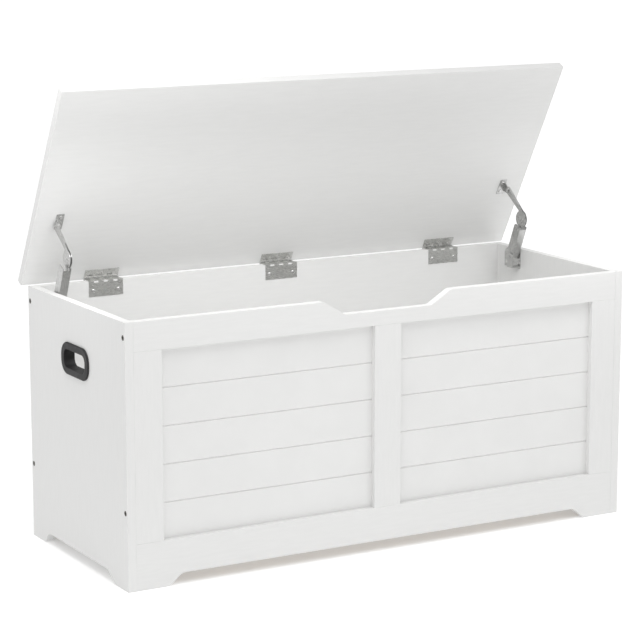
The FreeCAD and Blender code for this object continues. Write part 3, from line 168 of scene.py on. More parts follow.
@dataclass(frozen=True, kw_only=True)
class Finish:
    """What the bench's finishes share: two close tones, a roughness that wanders, and a fine relief."""

    name: str
    light: str
    dark: str
    tone_low: float = 0.35
    tone_high: float = 0.65
    rough_low: float
    rough_high: float
    relief_mm: float = 0.1
    relief_strength: float

    def complete(
        self, tree: bpy.types.NodeTree, tone: Any, wander: Any, height: Any,
        values: dict[str, float] | None = None,
    ) -> None:
        """Mix the tones, spread the roughness, raise the relief and end the material.

        Args:
            tree: the material's node tree.
            tone: the pattern that goes from the dark tone to the light one.
            wander: the pattern that the roughness follows.
            height: the pattern that stands up as relief.
            values: further values for the shader.
        """
        share = add_node(tree, "ShaderNodeMapRange", inputs={
            "Value": tone, "From Min": self.tone_low, "From Max": self.tone_high})
        colour = add_node(tree, "ShaderNodeMix", {"data_type": "RGBA"}, {
            "Factor": share.outputs["Result"],
            MIX_FIRST: linear(self.dark),
            MIX_SECOND: linear(self.light)})
        rough = add_node(tree, "ShaderNodeMapRange", inputs={
            "Value": wander, "From Min": PATTERN_LOW, "From Max": PATTERN_HIGH,
            "To Min": self.rough_low, "To Max": self.rough_high})
        relief = add_node(tree, "ShaderNodeBump", inputs={
            "Height": height, "Strength": self.relief_strength, "Distance": self.relief_mm * MM})
        shader = add_node(tree, "ShaderNodeBsdfPrincipled", inputs={
            "Base Color": colour.outputs[MIX_RESULT],
            "Roughness": rough.outputs["Result"],
            "Normal": relief.outputs["Normal"],
            **(values or {})})
        add_node(tree, "ShaderNodeOutputMaterial", inputs={"Surface": shader.outputs["BSDF"]})


@dataclass(frozen=True, kw_only=True)
class MelamineFacing(Finish):
    """White melamine paper pressed on chipboard by a lightly grained plate."""

    # the eye sees an even, neutral white with a low satin sheen and hardly any grain
    light: str = "#E4E4E3"
    dark: str = "#E2E2E1"
    grain: Grain
    streak_mm: float = 5.0
    streak_detail: float = 4.0
    pore_mm: float = 2.2
    pore_detail: float = 3.0
    rough_low: float = 0.42
    rough_high: float = 0.5
    relief_strength: float = 0.025
    specular: float = 0.45

    def material(self) -> bpy.types.Material:
        """Build the node material.

        Returns:
            The finished material.
        """
        material, tree = new_material(self.name)
        place = add_node(tree, "ShaderNodeTexCoord")
        stretch = add_node(tree, "ShaderNodeMapping", inputs={
            "Vector": place.outputs["Object"], "Scale": self.grain.value})
        streaks = add_node(tree, "ShaderNodeTexNoise", inputs={
            "Vector": stretch.outputs["Vector"], "Scale": per_mm(self.streak_mm),
            "Detail": self.streak_detail, "Roughness": PATTERN_SOFTNESS})
        # the press plate's pores are about 0.3 mm; drawn coarser so that they show at this distance
        pores = add_node(tree, "ShaderNodeTexNoise", inputs={
            "Vector": stretch.outputs["Vector"], "Scale": per_mm(self.pore_mm),
            "Detail": self.pore_detail, "Roughness": PATTERN_SOFTNESS})
        self.complete(tree, streaks.outputs["Fac"], pores.outputs["Fac"], pores.outputs["Fac"],
                      {"Specular IOR Level": self.specular})
        return material


@dataclass(frozen=True, kw_only=True)
class PaintedFibreboard(Finish):
    """Fibreboard sprayed white in a booth, smooth over the planks and into their grooves."""

    # the eye sees nearly the boards' white, with a soft sheen and a faint orange peel
    light: str = "#E5E5E4"
    dark: str = "#E3E3E2"
    cloud_mm: float = 60.0
    cloud_detail: float = 2.0
    peel_mm: float = 3.5
    peel_detail: float = 1.5
    rough_low: float = 0.38
    rough_high: float = 0.47
    relief_strength: float = 0.03
    specular: float = 0.45

    def material(self) -> bpy.types.Material:
        """Build the node material.

        Returns:
            The finished material.
        """
        material, tree = new_material(self.name)
        place = add_node(tree, "ShaderNodeTexCoord")
        clouds = add_node(tree, "ShaderNodeTexNoise", inputs={
            "Vector": place.outputs["Object"], "Scale": per_mm(self.cloud_mm),
            "Detail": self.cloud_detail, "Roughness": PATTERN_SOFTNESS})
        # real spray peel is 1 to 2 mm across; drawn a little wider
        peel = add_node(tree, "ShaderNodeTexNoise", inputs={
            "Vector": place.outputs["Object"], "Scale": per_mm(self.peel_mm),
            "Detail": self.peel_detail, "Roughness": PATTERN_SOFTNESS})
        self.complete(tree, clouds.outputs["Fac"], peel.outputs["Fac"], peel.outputs["Fac"],
                      {"Specular IOR Level": self.specular})
        return material


@dataclass(frozen=True, kw_only=True)
class BareTimber(Finish):
    """Planed bare timber, light between its growth rings and dark along them."""

    # the eye sees straight rings a few millimetres apart on a dull, slightly fuzzy face
    ring_mm: float
    rings_per_wave: float = 6.0
    ring_wander: float = 3.0
    ring_detail: float = 3.0
    ring_detail_scale: float = 1.5
    fibre_mm: float = 1.5
    fibre_detail: float = 4.0
    grain: Grain = Grain.ALONG_X
    tone_low: float = 0.1
    tone_high: float = 0.75
    rough_low: float = 0.62
    rough_high: float = 0.8
    relief_mm: float = 0.2
    relief_strength: float = 0.2

    def material(self) -> bpy.types.Material:
        """Build the node material.

        Returns:
            The finished material.
        """
        material, tree = new_material(self.name)
        place = add_node(tree, "ShaderNodeTexCoord")
        stretch = add_node(tree, "ShaderNodeMapping", inputs={
            "Vector": place.outputs["Object"], "Scale": self.grain.value})
        rings = add_node(tree, "ShaderNodeTexWave", {"wave_type": "RINGS", "rings_direction": "X"}, {
            "Vector": stretch.outputs["Vector"], "Scale": per_mm(self.ring_mm * self.rings_per_wave),
            "Distortion": self.ring_wander, "Detail": self.ring_detail,
            "Detail Scale": self.ring_detail_scale})
        fibres = add_node(tree, "ShaderNodeTexNoise", inputs={
            "Vector": stretch.outputs["Vector"], "Scale": per_mm(self.fibre_mm),
            "Detail": self.fibre_detail, "Roughness": PATTERN_SOFTNESS})
        self.complete(tree, rings.outputs["Fac"], fibres.outputs["Fac"], fibres.outputs["Fac"])
        return material


@dataclass(frozen=True, kw_only=True)
class MouldedPlastic(Finish):
    """Injection-moulded plastic from a spark-eroded mould."""

    # the eye sees one even colour and a matt grain that breaks up every highlight
    grain_mm: float = 0.9
    flow_mm: float = 18.0
    flow_detail: float = 2.0
    tone_low: float = PATTERN_LOW
    tone_high: float = PATTERN_HIGH
    rough_low: float = 0.48
    rough_high: float = 0.62
    relief_mm: float = 0.05
    relief_strength: float = 0.25
    specular: float = 0.5

    def material(self) -> bpy.types.Material:
        """Build the node material.

        Returns:
            The finished material.
        """
        material, tree = new_material(self.name)
        place = add_node(tree, "ShaderNodeTexCoord")
        # the real texture is about 0.1 mm; drawn coarser so that it shows
        pits = add_node(tree, "ShaderNodeTexVoronoi", {"feature": "F1"}, {
            "Vector": place.outputs["Object"], "Scale": per_mm(self.grain_mm)})
        flow = add_node(tree, "ShaderNodeTexNoise", inputs={
            "Vector": place.outputs["Object"], "Scale": per_mm(self.flow_mm),
            "Detail": self.flow_detail, "Roughness": PATTERN_SOFTNESS})
        self.complete(tree, flow.outputs["Fac"], flow.outputs["Fac"], pits.outputs["Distance"],
                      {"Specular IOR Level": self.specular})
        return material


@dataclass(frozen=True, kw_only=True)
class PlatedSteel(Finish):
    """Steel strip or wire, most of it under a thin metal plating."""

    # the eye sees grey metal between satin and bright, with fine rolled streaks and soft handling marks
    streak_mm: float = 0.8
    streak_detail: float = 3.0
    mark_mm: float = 9.0
    mark_detail: float = 3.0
    grain: Grain = Grain.ALONG_X
    rough_low: float = 0.22
    rough_high: float = 0.36
    relief_mm: float = 0.02
    relief_strength: float = 0.04

    def material(self) -> bpy.types.Material:
        """Build the node material.

        Returns:
            The finished material.
        """
        material, tree = new_material(self.name)
        place = add_node(tree, "ShaderNodeTexCoord")
        stretch = add_node(tree, "ShaderNodeMapping", inputs={
            "Vector": place.outputs["Object"], "Scale": self.grain.value})
        streaks = add_node(tree, "ShaderNodeTexNoise", inputs={
            "Vector": stretch.outputs["Vector"], "Scale": per_mm(self.streak_mm),
            "Detail": self.streak_detail, "Roughness": PATTERN_SOFTNESS})
        marks = add_node(tree, "ShaderNodeTexNoise", inputs={
            "Vector": place.outputs["Object"], "Scale": per_mm(self.mark_mm),
            "Detail": self.mark_detail, "Roughness": PATTERN_SOFTNESS})
        self.complete(tree, marks.outputs["Fac"], streaks.outputs["Fac"], streaks.outputs["Fac"],
                      {"Metallic": 1.0})
        return material


@dataclass(frozen=True)
class StudioFloor:
    """A pale seamless sheet under the bench."""

    # the eye sees plain white without a horizon; the fibres are too weak to show as a pattern
    name: str = "pale_studio_sheet"
    light: str = "#FBFBFB"
    dark: str = "#F8F8F8"
    fibre_mm: float = 40.0
    fibre_detail: float = 2.0
    rough: float = 0.9
    specular: float = 0.1
    lit_from_below: float = 0.24

    def material(self) -> bpy.types.Material:
        """Build the node material.

        Returns:
            The finished material.
        """
        material, tree = new_material(self.name)
        place = add_node(tree, "ShaderNodeTexCoord")
        fibres = add_node(tree, "ShaderNodeTexNoise", inputs={
            "Vector": place.outputs["Object"], "Scale": per_mm(self.fibre_mm),
            "Detail": self.fibre_detail, "Roughness": PATTERN_SOFTNESS})
        share = add_node(tree, "ShaderNodeMapRange", inputs={
            "Value": fibres.outputs["Fac"], "From Min": PATTERN_LOW, "From Max": PATTERN_HIGH})
        colour = add_node(tree, "ShaderNodeMix", {"data_type": "RGBA"}, {
            "Factor": share.outputs["Result"],
            MIX_FIRST: linear(self.dark),
            MIX_SECOND: linear(self.light)})
        shader = add_node(tree, "ShaderNodeBsdfPrincipled", inputs={
            "Base Color": colour.outputs[MIX_RESULT],
            "Roughness": self.rough,
            "Specular IOR Level": self.specular,
            "Emission Color": (1.0, 1.0, 1.0, 1.0),
            "Emission Strength": self.lit_from_below})
        add_node(tree, "ShaderNodeOutputMaterial", inputs={"Surface": shader.outputs["BSDF"]})
        return material


# ---------------------------------------------------------------- mesh helpers

def finish_mesh(bm: bmesh.types.BMesh, name: str, material: bpy.types.Material) -> bpy.types.Object:
    """Turn a bmesh into a smooth-shaded object at the origin.

    Args:
        bm: the shape, in metres in the bench's frame. It is freed.
        name: the object's name.
        material: its finish.

    Returns:
        The linked object.
    """
    mesh = bpy.data.meshes.new(name)
    bm.to_mesh(mesh)
    bm.free()
    mesh.materials.append(material)
    mesh.shade_smooth()
    mesh.set_sharp_from_angle(angle=SMOOTH_BELOW)
    piece = bpy.data.objects.new(name, mesh)
    bpy.context.scene.collection.objects.link(piece)
    return piece


def eased_copy(
    node: str, width_mm: float, material: bpy.types.Material, segments: int = 2
) -> bpy.types.Object:
    """Copy a CAD node and ease its sharp edges, as a tool or a press leaves them.

    Args:
        node: the CAD node's name.
        width_mm: width of the easing.
        material: the copy's finish.
        segments: how many flats round an edge off.

    Returns:
        The new piece, not yet riding on anything.
    """
    bm = bmesh.new()
    bm.from_mesh(frame["nodes"][node].data)
    bmesh.ops.remove_doubles(bm, verts=bm.verts, dist=WELD)
    bmesh.ops.dissolve_limit(
        bm, angle_limit=FLAT_WITHIN, use_dissolve_boundaries=False,
        verts=bm.verts, edges=bm.edges, delimit={"NORMAL"})
    corners = [
        edge for edge in bm.edges
        if len(edge.link_faces) == 2 and edge.calc_face_angle(0.0) > CORNER_ABOVE]
    bmesh.ops.bevel(
        bm, geom=corners, offset=width_mm * MM, segments=segments, profile=0.5,
        affect="EDGES", clamp_overlap=True)
    bmesh.ops.recalc_face_normals(bm, faces=bm.faces)
    piece = finish_mesh(bm, f"{node}_eased", material)
    weighted = piece.modifiers.new("flat_faces_stay_flat", "WEIGHTED_NORMAL")
    weighted.keep_sharp = True
    weighted.weight = FIRM_WEIGHT
    to_plain_mesh(piece)
    return piece


def revolve(profile: Sequence[tuple[float, float]], steps: int) -> bmesh.types.BMesh:
    """Turn a profile about Z into a closed solid.

    Args:
        profile: radius and height pairs in millimetres, from a point on the axis to another on it.
        steps: how many sides the round has.

    Returns:
        The solid, in metres.
    """
    bm = bmesh.new()
    rings: list[list[bmesh.types.BMVert]] = []
    for radius, height in profile:
        if radius <= 0:
            rings.append([bm.verts.new((0.0, 0.0, height * MM))])
            continue
        reach = radius * MM
        ring = []
        for i in range(steps):
            turn = 2 * math.pi * i / steps
            ring.append(bm.verts.new((reach * math.cos(turn), reach * math.sin(turn), height * MM)))
        rings.append(ring)
    for lower, upper in zip(rings, rings[1:]):
        for i in range(steps):
            j = (i + 1) % steps
            corners = [lower[i % len(lower)], lower[j % len(lower)],
                       upper[j % len(upper)], upper[i % len(upper)]]
            unique = list(dict.fromkeys(corners))
            if len(unique) > 2:
                bm.faces.new(unique)
    bmesh.ops.recalc_face_normals(bm, faces=bm.faces)
    return bm


def to_plain_mesh(piece: bpy.types.Object) -> None:
    """Turn an object and its modifiers into one plain mesh.

    Args:
        piece: the object.
    """
    graph = bpy.context.evaluated_depsgraph_get()
    graph.update()
    mesh = bpy.data.meshes.new_from_object(piece.evaluated_get(graph))
    piece.modifiers.clear()
    old = piece.data
    piece.data = mesh
    bpy.data.meshes.remove(old)
    mesh.name = piece.name


def carve(solid: bpy.types.Object, tool: bpy.types.Object) -> None:
    """Cut a tool's shape out of a solid's mesh and throw the tool away.

    Args:
        solid: the object that is cut.
        tool: the shape to remove.
    """
    cut = solid.modifiers.new("recess", "BOOLEAN")
    cut.operation = "DIFFERENCE"
    cut.solver = "EXACT"
    cut.object = tool
    to_plain_mesh(solid)
    bpy.data.objects.remove(tool)


def loose_parts(node: str) -> list[list[Vector]]:
    """Split a CAD node into its separate solids.

    Args:
        node: the CAD node's name.

    Returns:
        One list of corner points for each solid.
    """
    bm = bmesh.new()
    bm.from_mesh(frame["nodes"][node].data)
    bmesh.ops.remove_doubles(bm, verts=bm.verts, dist=WELD)
    left = set(bm.verts)
    parts = []
    while left:
        queue = [left.pop()]
        part = list(queue)
        while queue:
            for edge in queue.pop().link_edges:
                for vert in edge.verts:
                    if vert in left:
                        left.remove(vert)
                        queue.append(vert)
                        part.append(vert)
        parts.append([v.co.copy() for v in part])
    bm.free()
    return sorted(parts, key=lambda points: tuple(round(c, 5) for c in points_middle(points)))


def points_middle(points: Iterable[Vector]) -> Vector:
    """The middle of the box round some points.

    Args:
        points: the points.

    Returns:
        The box's middle.
    """
    listed = list(points)
    low = Vector([min(p[i] for p in listed) for i in range(3)])
    high = Vector([max(p[i] for p in listed) for i in range(3)])
    return (low + high) / 2


@dataclass
class Seat:
    """Where a fastener sits: the outermost point of its head, and the way its shank points."""

    top: Vector
    inward: Vector


def seats_of(node: str, inward: Vector) -> list[Seat]:
    """Find the seats of the fasteners in a CAD node.

    Args:
        node: the CAD node's name.
        inward: the way the shanks point.

    Returns:
        One seat for each fastener.
    """
    seats = []
    for points in loose_parts(node):
        along = [p.dot(inward) for p in points]
        near, far = min(along), max(along)
        tip = [p for p, d in zip(points, along) if d > far - TIP_WITHIN]
        end = sum(tip, Vector()) / len(tip)
        seats.append(Seat(end - inward * (far - near), inward))
    return seats


def start_shape_tree(
    name: str, inputs: dict[str, str]
) -> tuple[bpy.types.NodeTree, dict[str, str], bpy.types.Node]:
    """Start a Geometry Nodes tree with named inputs.

    Args:
        name: the tree's name.
        inputs: each input's label and socket type, after the geometry.

    Returns:
        The tree, each input's identifier by its label, and the node that gives them.
    """
    tree = bpy.data.node_groups.new(name, "GeometryNodeTree")
    tree.interface.new_socket("Geometry", in_out="INPUT", socket_type="NodeSocketGeometry")
    identifiers = {
        label: tree.interface.new_socket(label, in_out="INPUT", socket_type=kind).identifier
        for label, kind in inputs.items()}
    tree.interface.new_socket("Geometry", in_out="OUTPUT", socket_type="NodeSocketGeometry")
    return tree, identifiers, add_node(tree, "NodeGroupInput")


def run_shape_tree(
    piece: bpy.types.Object, tree: bpy.types.NodeTree, shape: Any, start: bpy.types.Node,
    identifiers: dict[str, str], values: dict[str, Any],
) -> None:
    """End a Geometry Nodes tree, run it on a piece and keep the result as one plain mesh.

    Args:
        piece: the object that becomes the shape.
        tree: the tree from start_shape_tree.
        shape: the socket that gives the shape.
        start: the node that gives the tree's inputs.
        identifiers: each input's identifier by its label.
        values: each input's value by its label; "Finish" is the piece's material.
    """
    real = add_node(tree, "GeometryNodeRealizeInstances", inputs={"Geometry": shape})
    dressed = add_node(tree, "GeometryNodeSetMaterial", inputs={
        "Geometry": real.outputs["Geometry"], "Material": start.outputs["Finish"]})
    add_node(tree, "NodeGroupOutput", inputs={"Geometry": dressed.outputs["Geometry"]})
    made = piece.modifiers.new(tree.name, "NODES")
    made.node_group = tree
    for label, value in values.items():
        made[identifiers[label]] = value
    bake_modifiers(piece, values["Finish"])


def place_on_seats(
    name: str, prototype: bpy.types.Object, seats: Sequence[Seat], material: bpy.types.Material, seed: int
) -> bpy.types.Object:
    """Set copies of a fastener on its seats with Geometry Nodes, and make one plain mesh of them.

    Args:
        name: the finished piece's name.
        prototype: one fastener, its head's top at the origin and its shank along -Z. It is removed.
        seats: where the fasteners go.
        material: their finish.
        seed: fixes how far each one was turned home.

    Returns:
        The finished piece.
    """
    points = bpy.data.meshes.new(f"{name}_seats")
    points.from_pydata([tuple(seat.top) for seat in seats], [], [])
    outward = points.attributes.new("outward", "FLOAT_VECTOR", "POINT")
    for i, seat in enumerate(seats):
        outward.data[i].vector = tuple(-seat.inward)
    piece = bpy.data.objects.new(name, points)
    bpy.context.scene.collection.objects.link(piece)

    tree, identifiers, start = start_shape_tree(f"{name}_set", {
        "Fastener": "NodeSocketObject", "Most Turn": "NodeSocketFloat",
        "Seed": "NodeSocketInt", "Finish": "NodeSocketMaterial"})
    aim = add_node(tree, "GeometryNodeInputNamedAttribute", {"data_type": "FLOAT_VECTOR"}, {
        "Name": "outward"})
    stand = add_node(tree, "FunctionNodeAlignRotationToVector", {"axis": "Z"}, {
        "Vector": aim.outputs["Attribute"]})
    turn = add_node(tree, "FunctionNodeRandomValue", {"data_type": "FLOAT"}, {
        RANDOM_LEAST: 0.0, RANDOM_MOST: start.outputs["Most Turn"], "Seed": start.outputs["Seed"]})
    spin = add_node(tree, "FunctionNodeAxisAngleToRotation", inputs={
        "Axis": (0.0, 0.0, 1.0), "Angle": turn.outputs[RANDOM_VALUE]})
    whole = add_node(tree, "FunctionNodeRotateRotation", {"rotation_space": "LOCAL"}, {
        "Rotation": stand.outputs["Rotation"], "Rotate By": spin.outputs["Rotation"]})
    shape = add_node(tree, "GeometryNodeObjectInfo", inputs={"Object": start.outputs["Fastener"]})
    copies = add_node(tree, "GeometryNodeInstanceOnPoints", inputs={
        "Points": start.outputs["Geometry"], "Instance": shape.outputs["Geometry"],
        "Rotation": whole.outputs["Rotation"]})
    run_shape_tree(piece, tree, copies.outputs["Instances"], start, identifiers, {
        "Fastener": prototype, "Most Turn": QUARTER_TURN, "Seed": seed, "Finish": material})
    bpy.data.objects.remove(prototype)
    return piece


def bake_modifiers(piece: bpy.types.Object, material: bpy.types.Material) -> None:
    """Turn a Geometry Nodes piece into one plain, smooth mesh of a single finish.

    Args:
        piece: the object.
        material: the only finish that the mesh keeps.
    """
    to_plain_mesh(piece)
    mesh = piece.data
    mesh.materials.clear()
    mesh.materials.append(material)
    for polygon in mesh.polygons:
        polygon.material_index = 0
    mesh.shade_smooth()
    mesh.set_sharp_from_angle(angle=SMOOTH_BELOW)


def hand_over(piece: bpy.types.Object, body: str, slot: str, *nodes: str) -> None:
    """Let a piece ride on its body and stand for its CAD nodes.

    Args:
        piece: the finished piece.
        body: the CAD body it moves with.
        slot: the record's material slot; not used.
        nodes: the CAD nodes it stands for.
    """
    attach(piece, body)
    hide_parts(*nodes)
    log.info("%s rides on %s for %s", piece.name, body, ", ".join(nodes))


def dress(node: str, material: bpy.types.Material) -> None:
    """Give a CAD node its finish.

    Args:
        node: the CAD node's name.
        material: its finish.
    """
    for place in frame["nodes"][node].material_slots:
        place.material = material
    log.info("%s is dressed in %s", node, material.name)


# ---------------------------------------------------------------- sub-assemblies

@dataclass
class Finishes:
    """Every finish of the bench, made once."""

    boards: dict[Grain, bpy.types.Material] = field(default_factory=dict)

    def __post_init__(self) -> None:
        """Make the materials."""
        for grain in (Grain.ALONG_X, Grain.ALONG_Z):
            name = f"white_melamine_{grain.name.lower()}"
            self.boards[grain] = MelamineFacing(name=name, grain=grain).material()
        self.planks = PaintedFibreboard(name="white_paint_on_fibreboard").material()
        # pale yellow softwood with wide rings
        self.pine = BareTimber(
            name="planed_pine", light="#DDBF8E", dark="#BE9660", ring_mm=4.0).material()
        # pinkish brown hardwood with close rings
        self.beech = BareTimber(
            name="fluted_beech", light="#D6B083", dark="#BC9060", ring_mm=2.0).material()
        # matt black
        self.black = MouldedPlastic(
            name="black_moulded_nylon", light="#1C1C1D", dark="#161617").material()
        # slightly yellow white, smoother than the black
        self.white_plastic = MouldedPlastic(
            name="white_moulded_acetal", light="#E2E1DB", dark="#D8D7D0", grain_mm=1.2,
            rough_low=0.35, rough_high=0.5).material()
        # light grey satin strip
        self.hinge = PlatedSteel(
            name="nickel_plated_hinge_strip", light="#CFCFCD", dark="#C7C7C5").material()
        # a darker strip, rolled along the stay
        self.stay = PlatedSteel(
            name="nickel_plated_stay_strip", light="#C4C4C3", dark="#BCBCBB",
            grain=Grain.ALONG_Z).material()
        # the brightest metal, on small heads
        self.screw = PlatedSteel(
            name="nickel_plated_screw", light="#DADAD9", dark="#D0D0CF", rough_low=0.16,
            rough_high=0.26, streak_mm=0.5, grain=Grain.NONE).material()
        # the same grey as the stays, a little shinier
        self.rivet = PlatedSteel(
            name="bright_steel_rivet", light="#C4C4C3", dark="#B6B6B5", rough_low=0.18,
            rough_high=0.3, streak_mm=0.5, grain=Grain.NONE).material()
        # dull brownish grey
        self.dark_screw = PlatedSteel(
            name="dark_zinc_confirmat", light="#6B6964", dark="#524F4B", rough_low=0.3,
            rough_high=0.45, streak_mm=0.6, grain=Grain.NONE).material()
        # dark grey with a faint blue
        self.spring = PlatedSteel(
            name="oiled_spring_wire", light="#77777A", dark="#5C5C60", rough_low=0.25,
            rough_high=0.4, streak_mm=0.6, grain=Grain.NONE).material()


@dataclass
class Carcass:
    """The chest's boards: ends, front frame, planked panels, back, floor, battens and dowels."""

    finishes: Finishes
    saw_ease_mm: float = 0.4

    def build(self) -> None:
        """Ease the sawn boards and dress the rest."""
        boards = self.finishes.boards
        for side in LEFT_RIGHT:
            self.ease(f"side_panel_{side}", boards[Grain.ALONG_Z])
            dress(f"front_stile_{side}", boards[Grain.ALONG_Z])
            dress(f"front_panel_{side}", self.finishes.planks)
        self.ease("back_panel", boards[Grain.ALONG_X])
        self.ease("floor_board", boards[Grain.ALONG_X])
        dress("front_top_rail", boards[Grain.ALONG_X])
        dress("front_bottom_rail", boards[Grain.ALONG_X])
        dress("front_centre_stile", boards[Grain.ALONG_Z])
        dress("floor_batten_front", self.finishes.pine)
        dress("floor_batten_back", self.finishes.pine)
        dress("floor_dowels", self.finishes.beech)
        dress("front_frame_dowels", self.finishes.beech)

    def ease(self, node: str, material: bpy.types.Material) -> None:
        """Replace a board with a copy whose sawn edges are eased."""
        hand_over(eased_copy(node, self.saw_ease_mm, material), "carcass", "white_board", node)


@dataclass
class HandGrips:
    """The moulded grips in the two ends, with their clip rings."""

    finishes: Finishes
    lip_ease_mm: float = 0.5
    lip_segments: int = 3

    def build(self) -> None:
        """Soften the mouldings' lips."""
        for side in LEFT_RIGHT:
            for node in (f"hand_grip_{side}", f"grip_ring_{side}"):
                piece = eased_copy(node, self.lip_ease_mm, self.finishes.black, self.lip_segments)
                hand_over(piece, "carcass", "black_plastic", node)


@dataclass(frozen=True, kw_only=True)
class Fastener:
    """A screw that is turned from wire: a head with a recess, and a threaded shank."""

    head_mm: float
    head_tall_mm: float
    shank_mm: float
    long_mm: float
    drive: Drive
    recess_mm: float
    recess_deep_mm: float
    flush: bool = False
    flush_flat: float = 0.7
    flush_rim_mm: float = 0.08
    rim_mm: float = 0.3
    dome_share: float = 0.82
    dome_steps: int = 7
    neck_mm: float = 1.0
    thread_mm: float = 1.3
    thread_deep_mm: float = 0.35
    blade_share: float = 0.22
    blade_taper: float = 0.45
    socket_cone: float = 1.15
    socket_sides: int = 6
    recess_over_mm: float = 1.0
    sides: int = 32

    def profile(self) -> list[tuple[float, float]]:
        """The screw's outline.

        Returns:
            Radius and height pairs in millimetres, from the head's top down to the tip.
        """
        head = self.head_mm / 2
        shank = self.shank_mm / 2
        root = shank - self.thread_deep_mm
        if self.flush:
            outline = [(0.0, 0.0), (head * self.flush_flat, 0.0), (head, -self.flush_rim_mm),
                       (shank, -self.head_tall_mm)]
        elif self.drive is Drive.HEXAGON:
            outline = [(0.0, 0.0), (head - self.rim_mm, 0.0), (head, -self.rim_mm),
                       (head, -self.head_tall_mm), (shank, -self.head_tall_mm)]
        else:
            outline = [(0.0, 0.0)]
            fall = self.head_tall_mm * self.dome_share
            for step in range(1, self.dome_steps + 1):
                turn = step / self.dome_steps * QUARTER_TURN
                outline.append((head * math.sin(turn), -fall * (1 - math.cos(turn))))
            outline += [(head, -self.head_tall_mm), (shank, -self.head_tall_mm)]
        depth = self.head_tall_mm + self.neck_mm
        while depth < self.long_mm - 2 * self.thread_mm:
            outline += [(root, -depth), (shank, -depth - self.thread_mm / 2)]
            depth += self.thread_mm
        return outline + [(root, -depth), (0.0, -self.long_mm)]

    def make(self, name: str, material: bpy.types.Material) -> bpy.types.Object:
        """Make one fastener with its head's top at the origin.

        Args:
            name: the object's name.
            material: its finish.

        Returns:
            The fastener.
        """
        solid = finish_mesh(revolve(self.profile(), self.sides), name, material)
        carve(solid, self.recess(f"{name}_recess", material))
        return solid

    def recess(self, name: str, material: bpy.types.Material) -> bpy.types.Object:
        """The shape of the driver's tip.

        Args:
            name: the object's name.
            material: the finish that the cut faces get.

        Returns:
            The tip, standing in the head's top.
        """
        over, deep, wide = self.recess_over_mm, self.recess_deep_mm, self.recess_mm
        if self.drive is Drive.HEXAGON:
            outline = [(0.0, over), (wide / 2, over), (wide / 2, -deep), (0.0, -deep * self.socket_cone)]
            return finish_mesh(revolve(outline, self.socket_sides), name, material)
        thin = self.blade_share * wide
        bm = bmesh.new()
        for across, along in ((wide, thin), (thin, wide)):
            for vert in bmesh.ops.create_cube(bm, size=1.0)["verts"]:
                narrow = self.blade_taper if vert.co.z < 0 else 1.0
                vert.co.x *= across * MM * (narrow if across > along else 1.0)
                vert.co.y *= along * MM * (narrow if along > across else 1.0)
                vert.co.z = (over if vert.co.z > 0 else -deep) * MM
        tip = finish_mesh(bm, name, material)
        tip.data.validate()
        return tip


CONFIRMAT = Fastener(
    head_mm=9.0, head_tall_mm=3.0, shank_mm=5.0, long_mm=51.0,
    drive=Drive.HEXAGON, recess_mm=4.0, recess_deep_mm=2.0)
DOMED = Fastener(
    head_mm=7.0, head_tall_mm=1.3, shank_mm=3.0, long_mm=12.3,
    drive=Drive.CROSS, recess_mm=3.6, recess_deep_mm=1.0)
FLUSH = Fastener(
    head_mm=5.1, head_tall_mm=1.0, shank_mm=3.0, long_mm=11.0,
    drive=Drive.CROSS, recess_mm=3.0, recess_deep_mm=0.9, flush=True)


@dataclass
class Screws:
    """All screws of the bench, set in place by body."""

    finishes: Finishes
    confirmat: Fastener = CONFIRMAT
    domed: Fastener = DOMED
    flush: Fastener = FLUSH

    def build(self, lid_normal: Vector) -> None:
        """Set every screw.

        Args:
            lid_normal: the way the open lid's underside screws point into it.
        """
        bright, dark = self.finishes.screw, self.finishes.dark_screw
        into_bench = (Vector((1, 0, 0)), Vector((-1, 0, 0)))
        for number, (side, inward) in enumerate(zip(LEFT_RIGHT, into_bench)):
            node = f"side_screws_{side}"
            self.set(f"confirmats_{side}", self.confirmat, inward, dark,
                     "carcass", "dark_screw", node, CONFIRMAT_SEED + number)
            node = f"stay_foot_screws_{side}"
            self.set(f"stay_foot_set_{side}", self.domed, -inward, bright,
                     "carcass", "nickel_screw", node, STAY_FOOT_SEED + number)
            node = f"stay_head_screws_{side}"
            self.set(f"stay_head_set_{side}", self.domed, lid_normal, bright,
                     "lid", "nickel_screw", node, STAY_HEAD_SEED + number)
        self.set("hinge_back_set", self.domed, Vector((0, 1, 0)), bright,
                 "carcass", "nickel_screw", "hinge_back_screws", HINGE_BACK_SEED)
        self.set("hinge_lid_set", self.flush, lid_normal, bright,
                 "lid", "nickel_screw", "hinge_lid_screws", HINGE_LID_SEED)

    def set(
        self, name: str, fastener: Fastener, inward: Vector, material: bpy.types.Material,
        body: str, slot: str, node: str, seed: int,
    ) -> None:
        """Make one fastener, set it where a CAD node's screws sit, and hand the piece over.

        Args:
            name: the finished piece's name.
            fastener: the kind of screw.
            inward: the way the shanks point.
            material: their finish.
            body: the CAD body they move with.
            slot: the record's material slot.
            node: the CAD node they stand for.
            seed: fixes how far each one was turned home.
        """
        prototype = fastener.make(f"{name}_one", material)
        piece = place_on_seats(name, prototype, seats_of(node, inward), material, seed)
        hand_over(piece, body, slot, node)


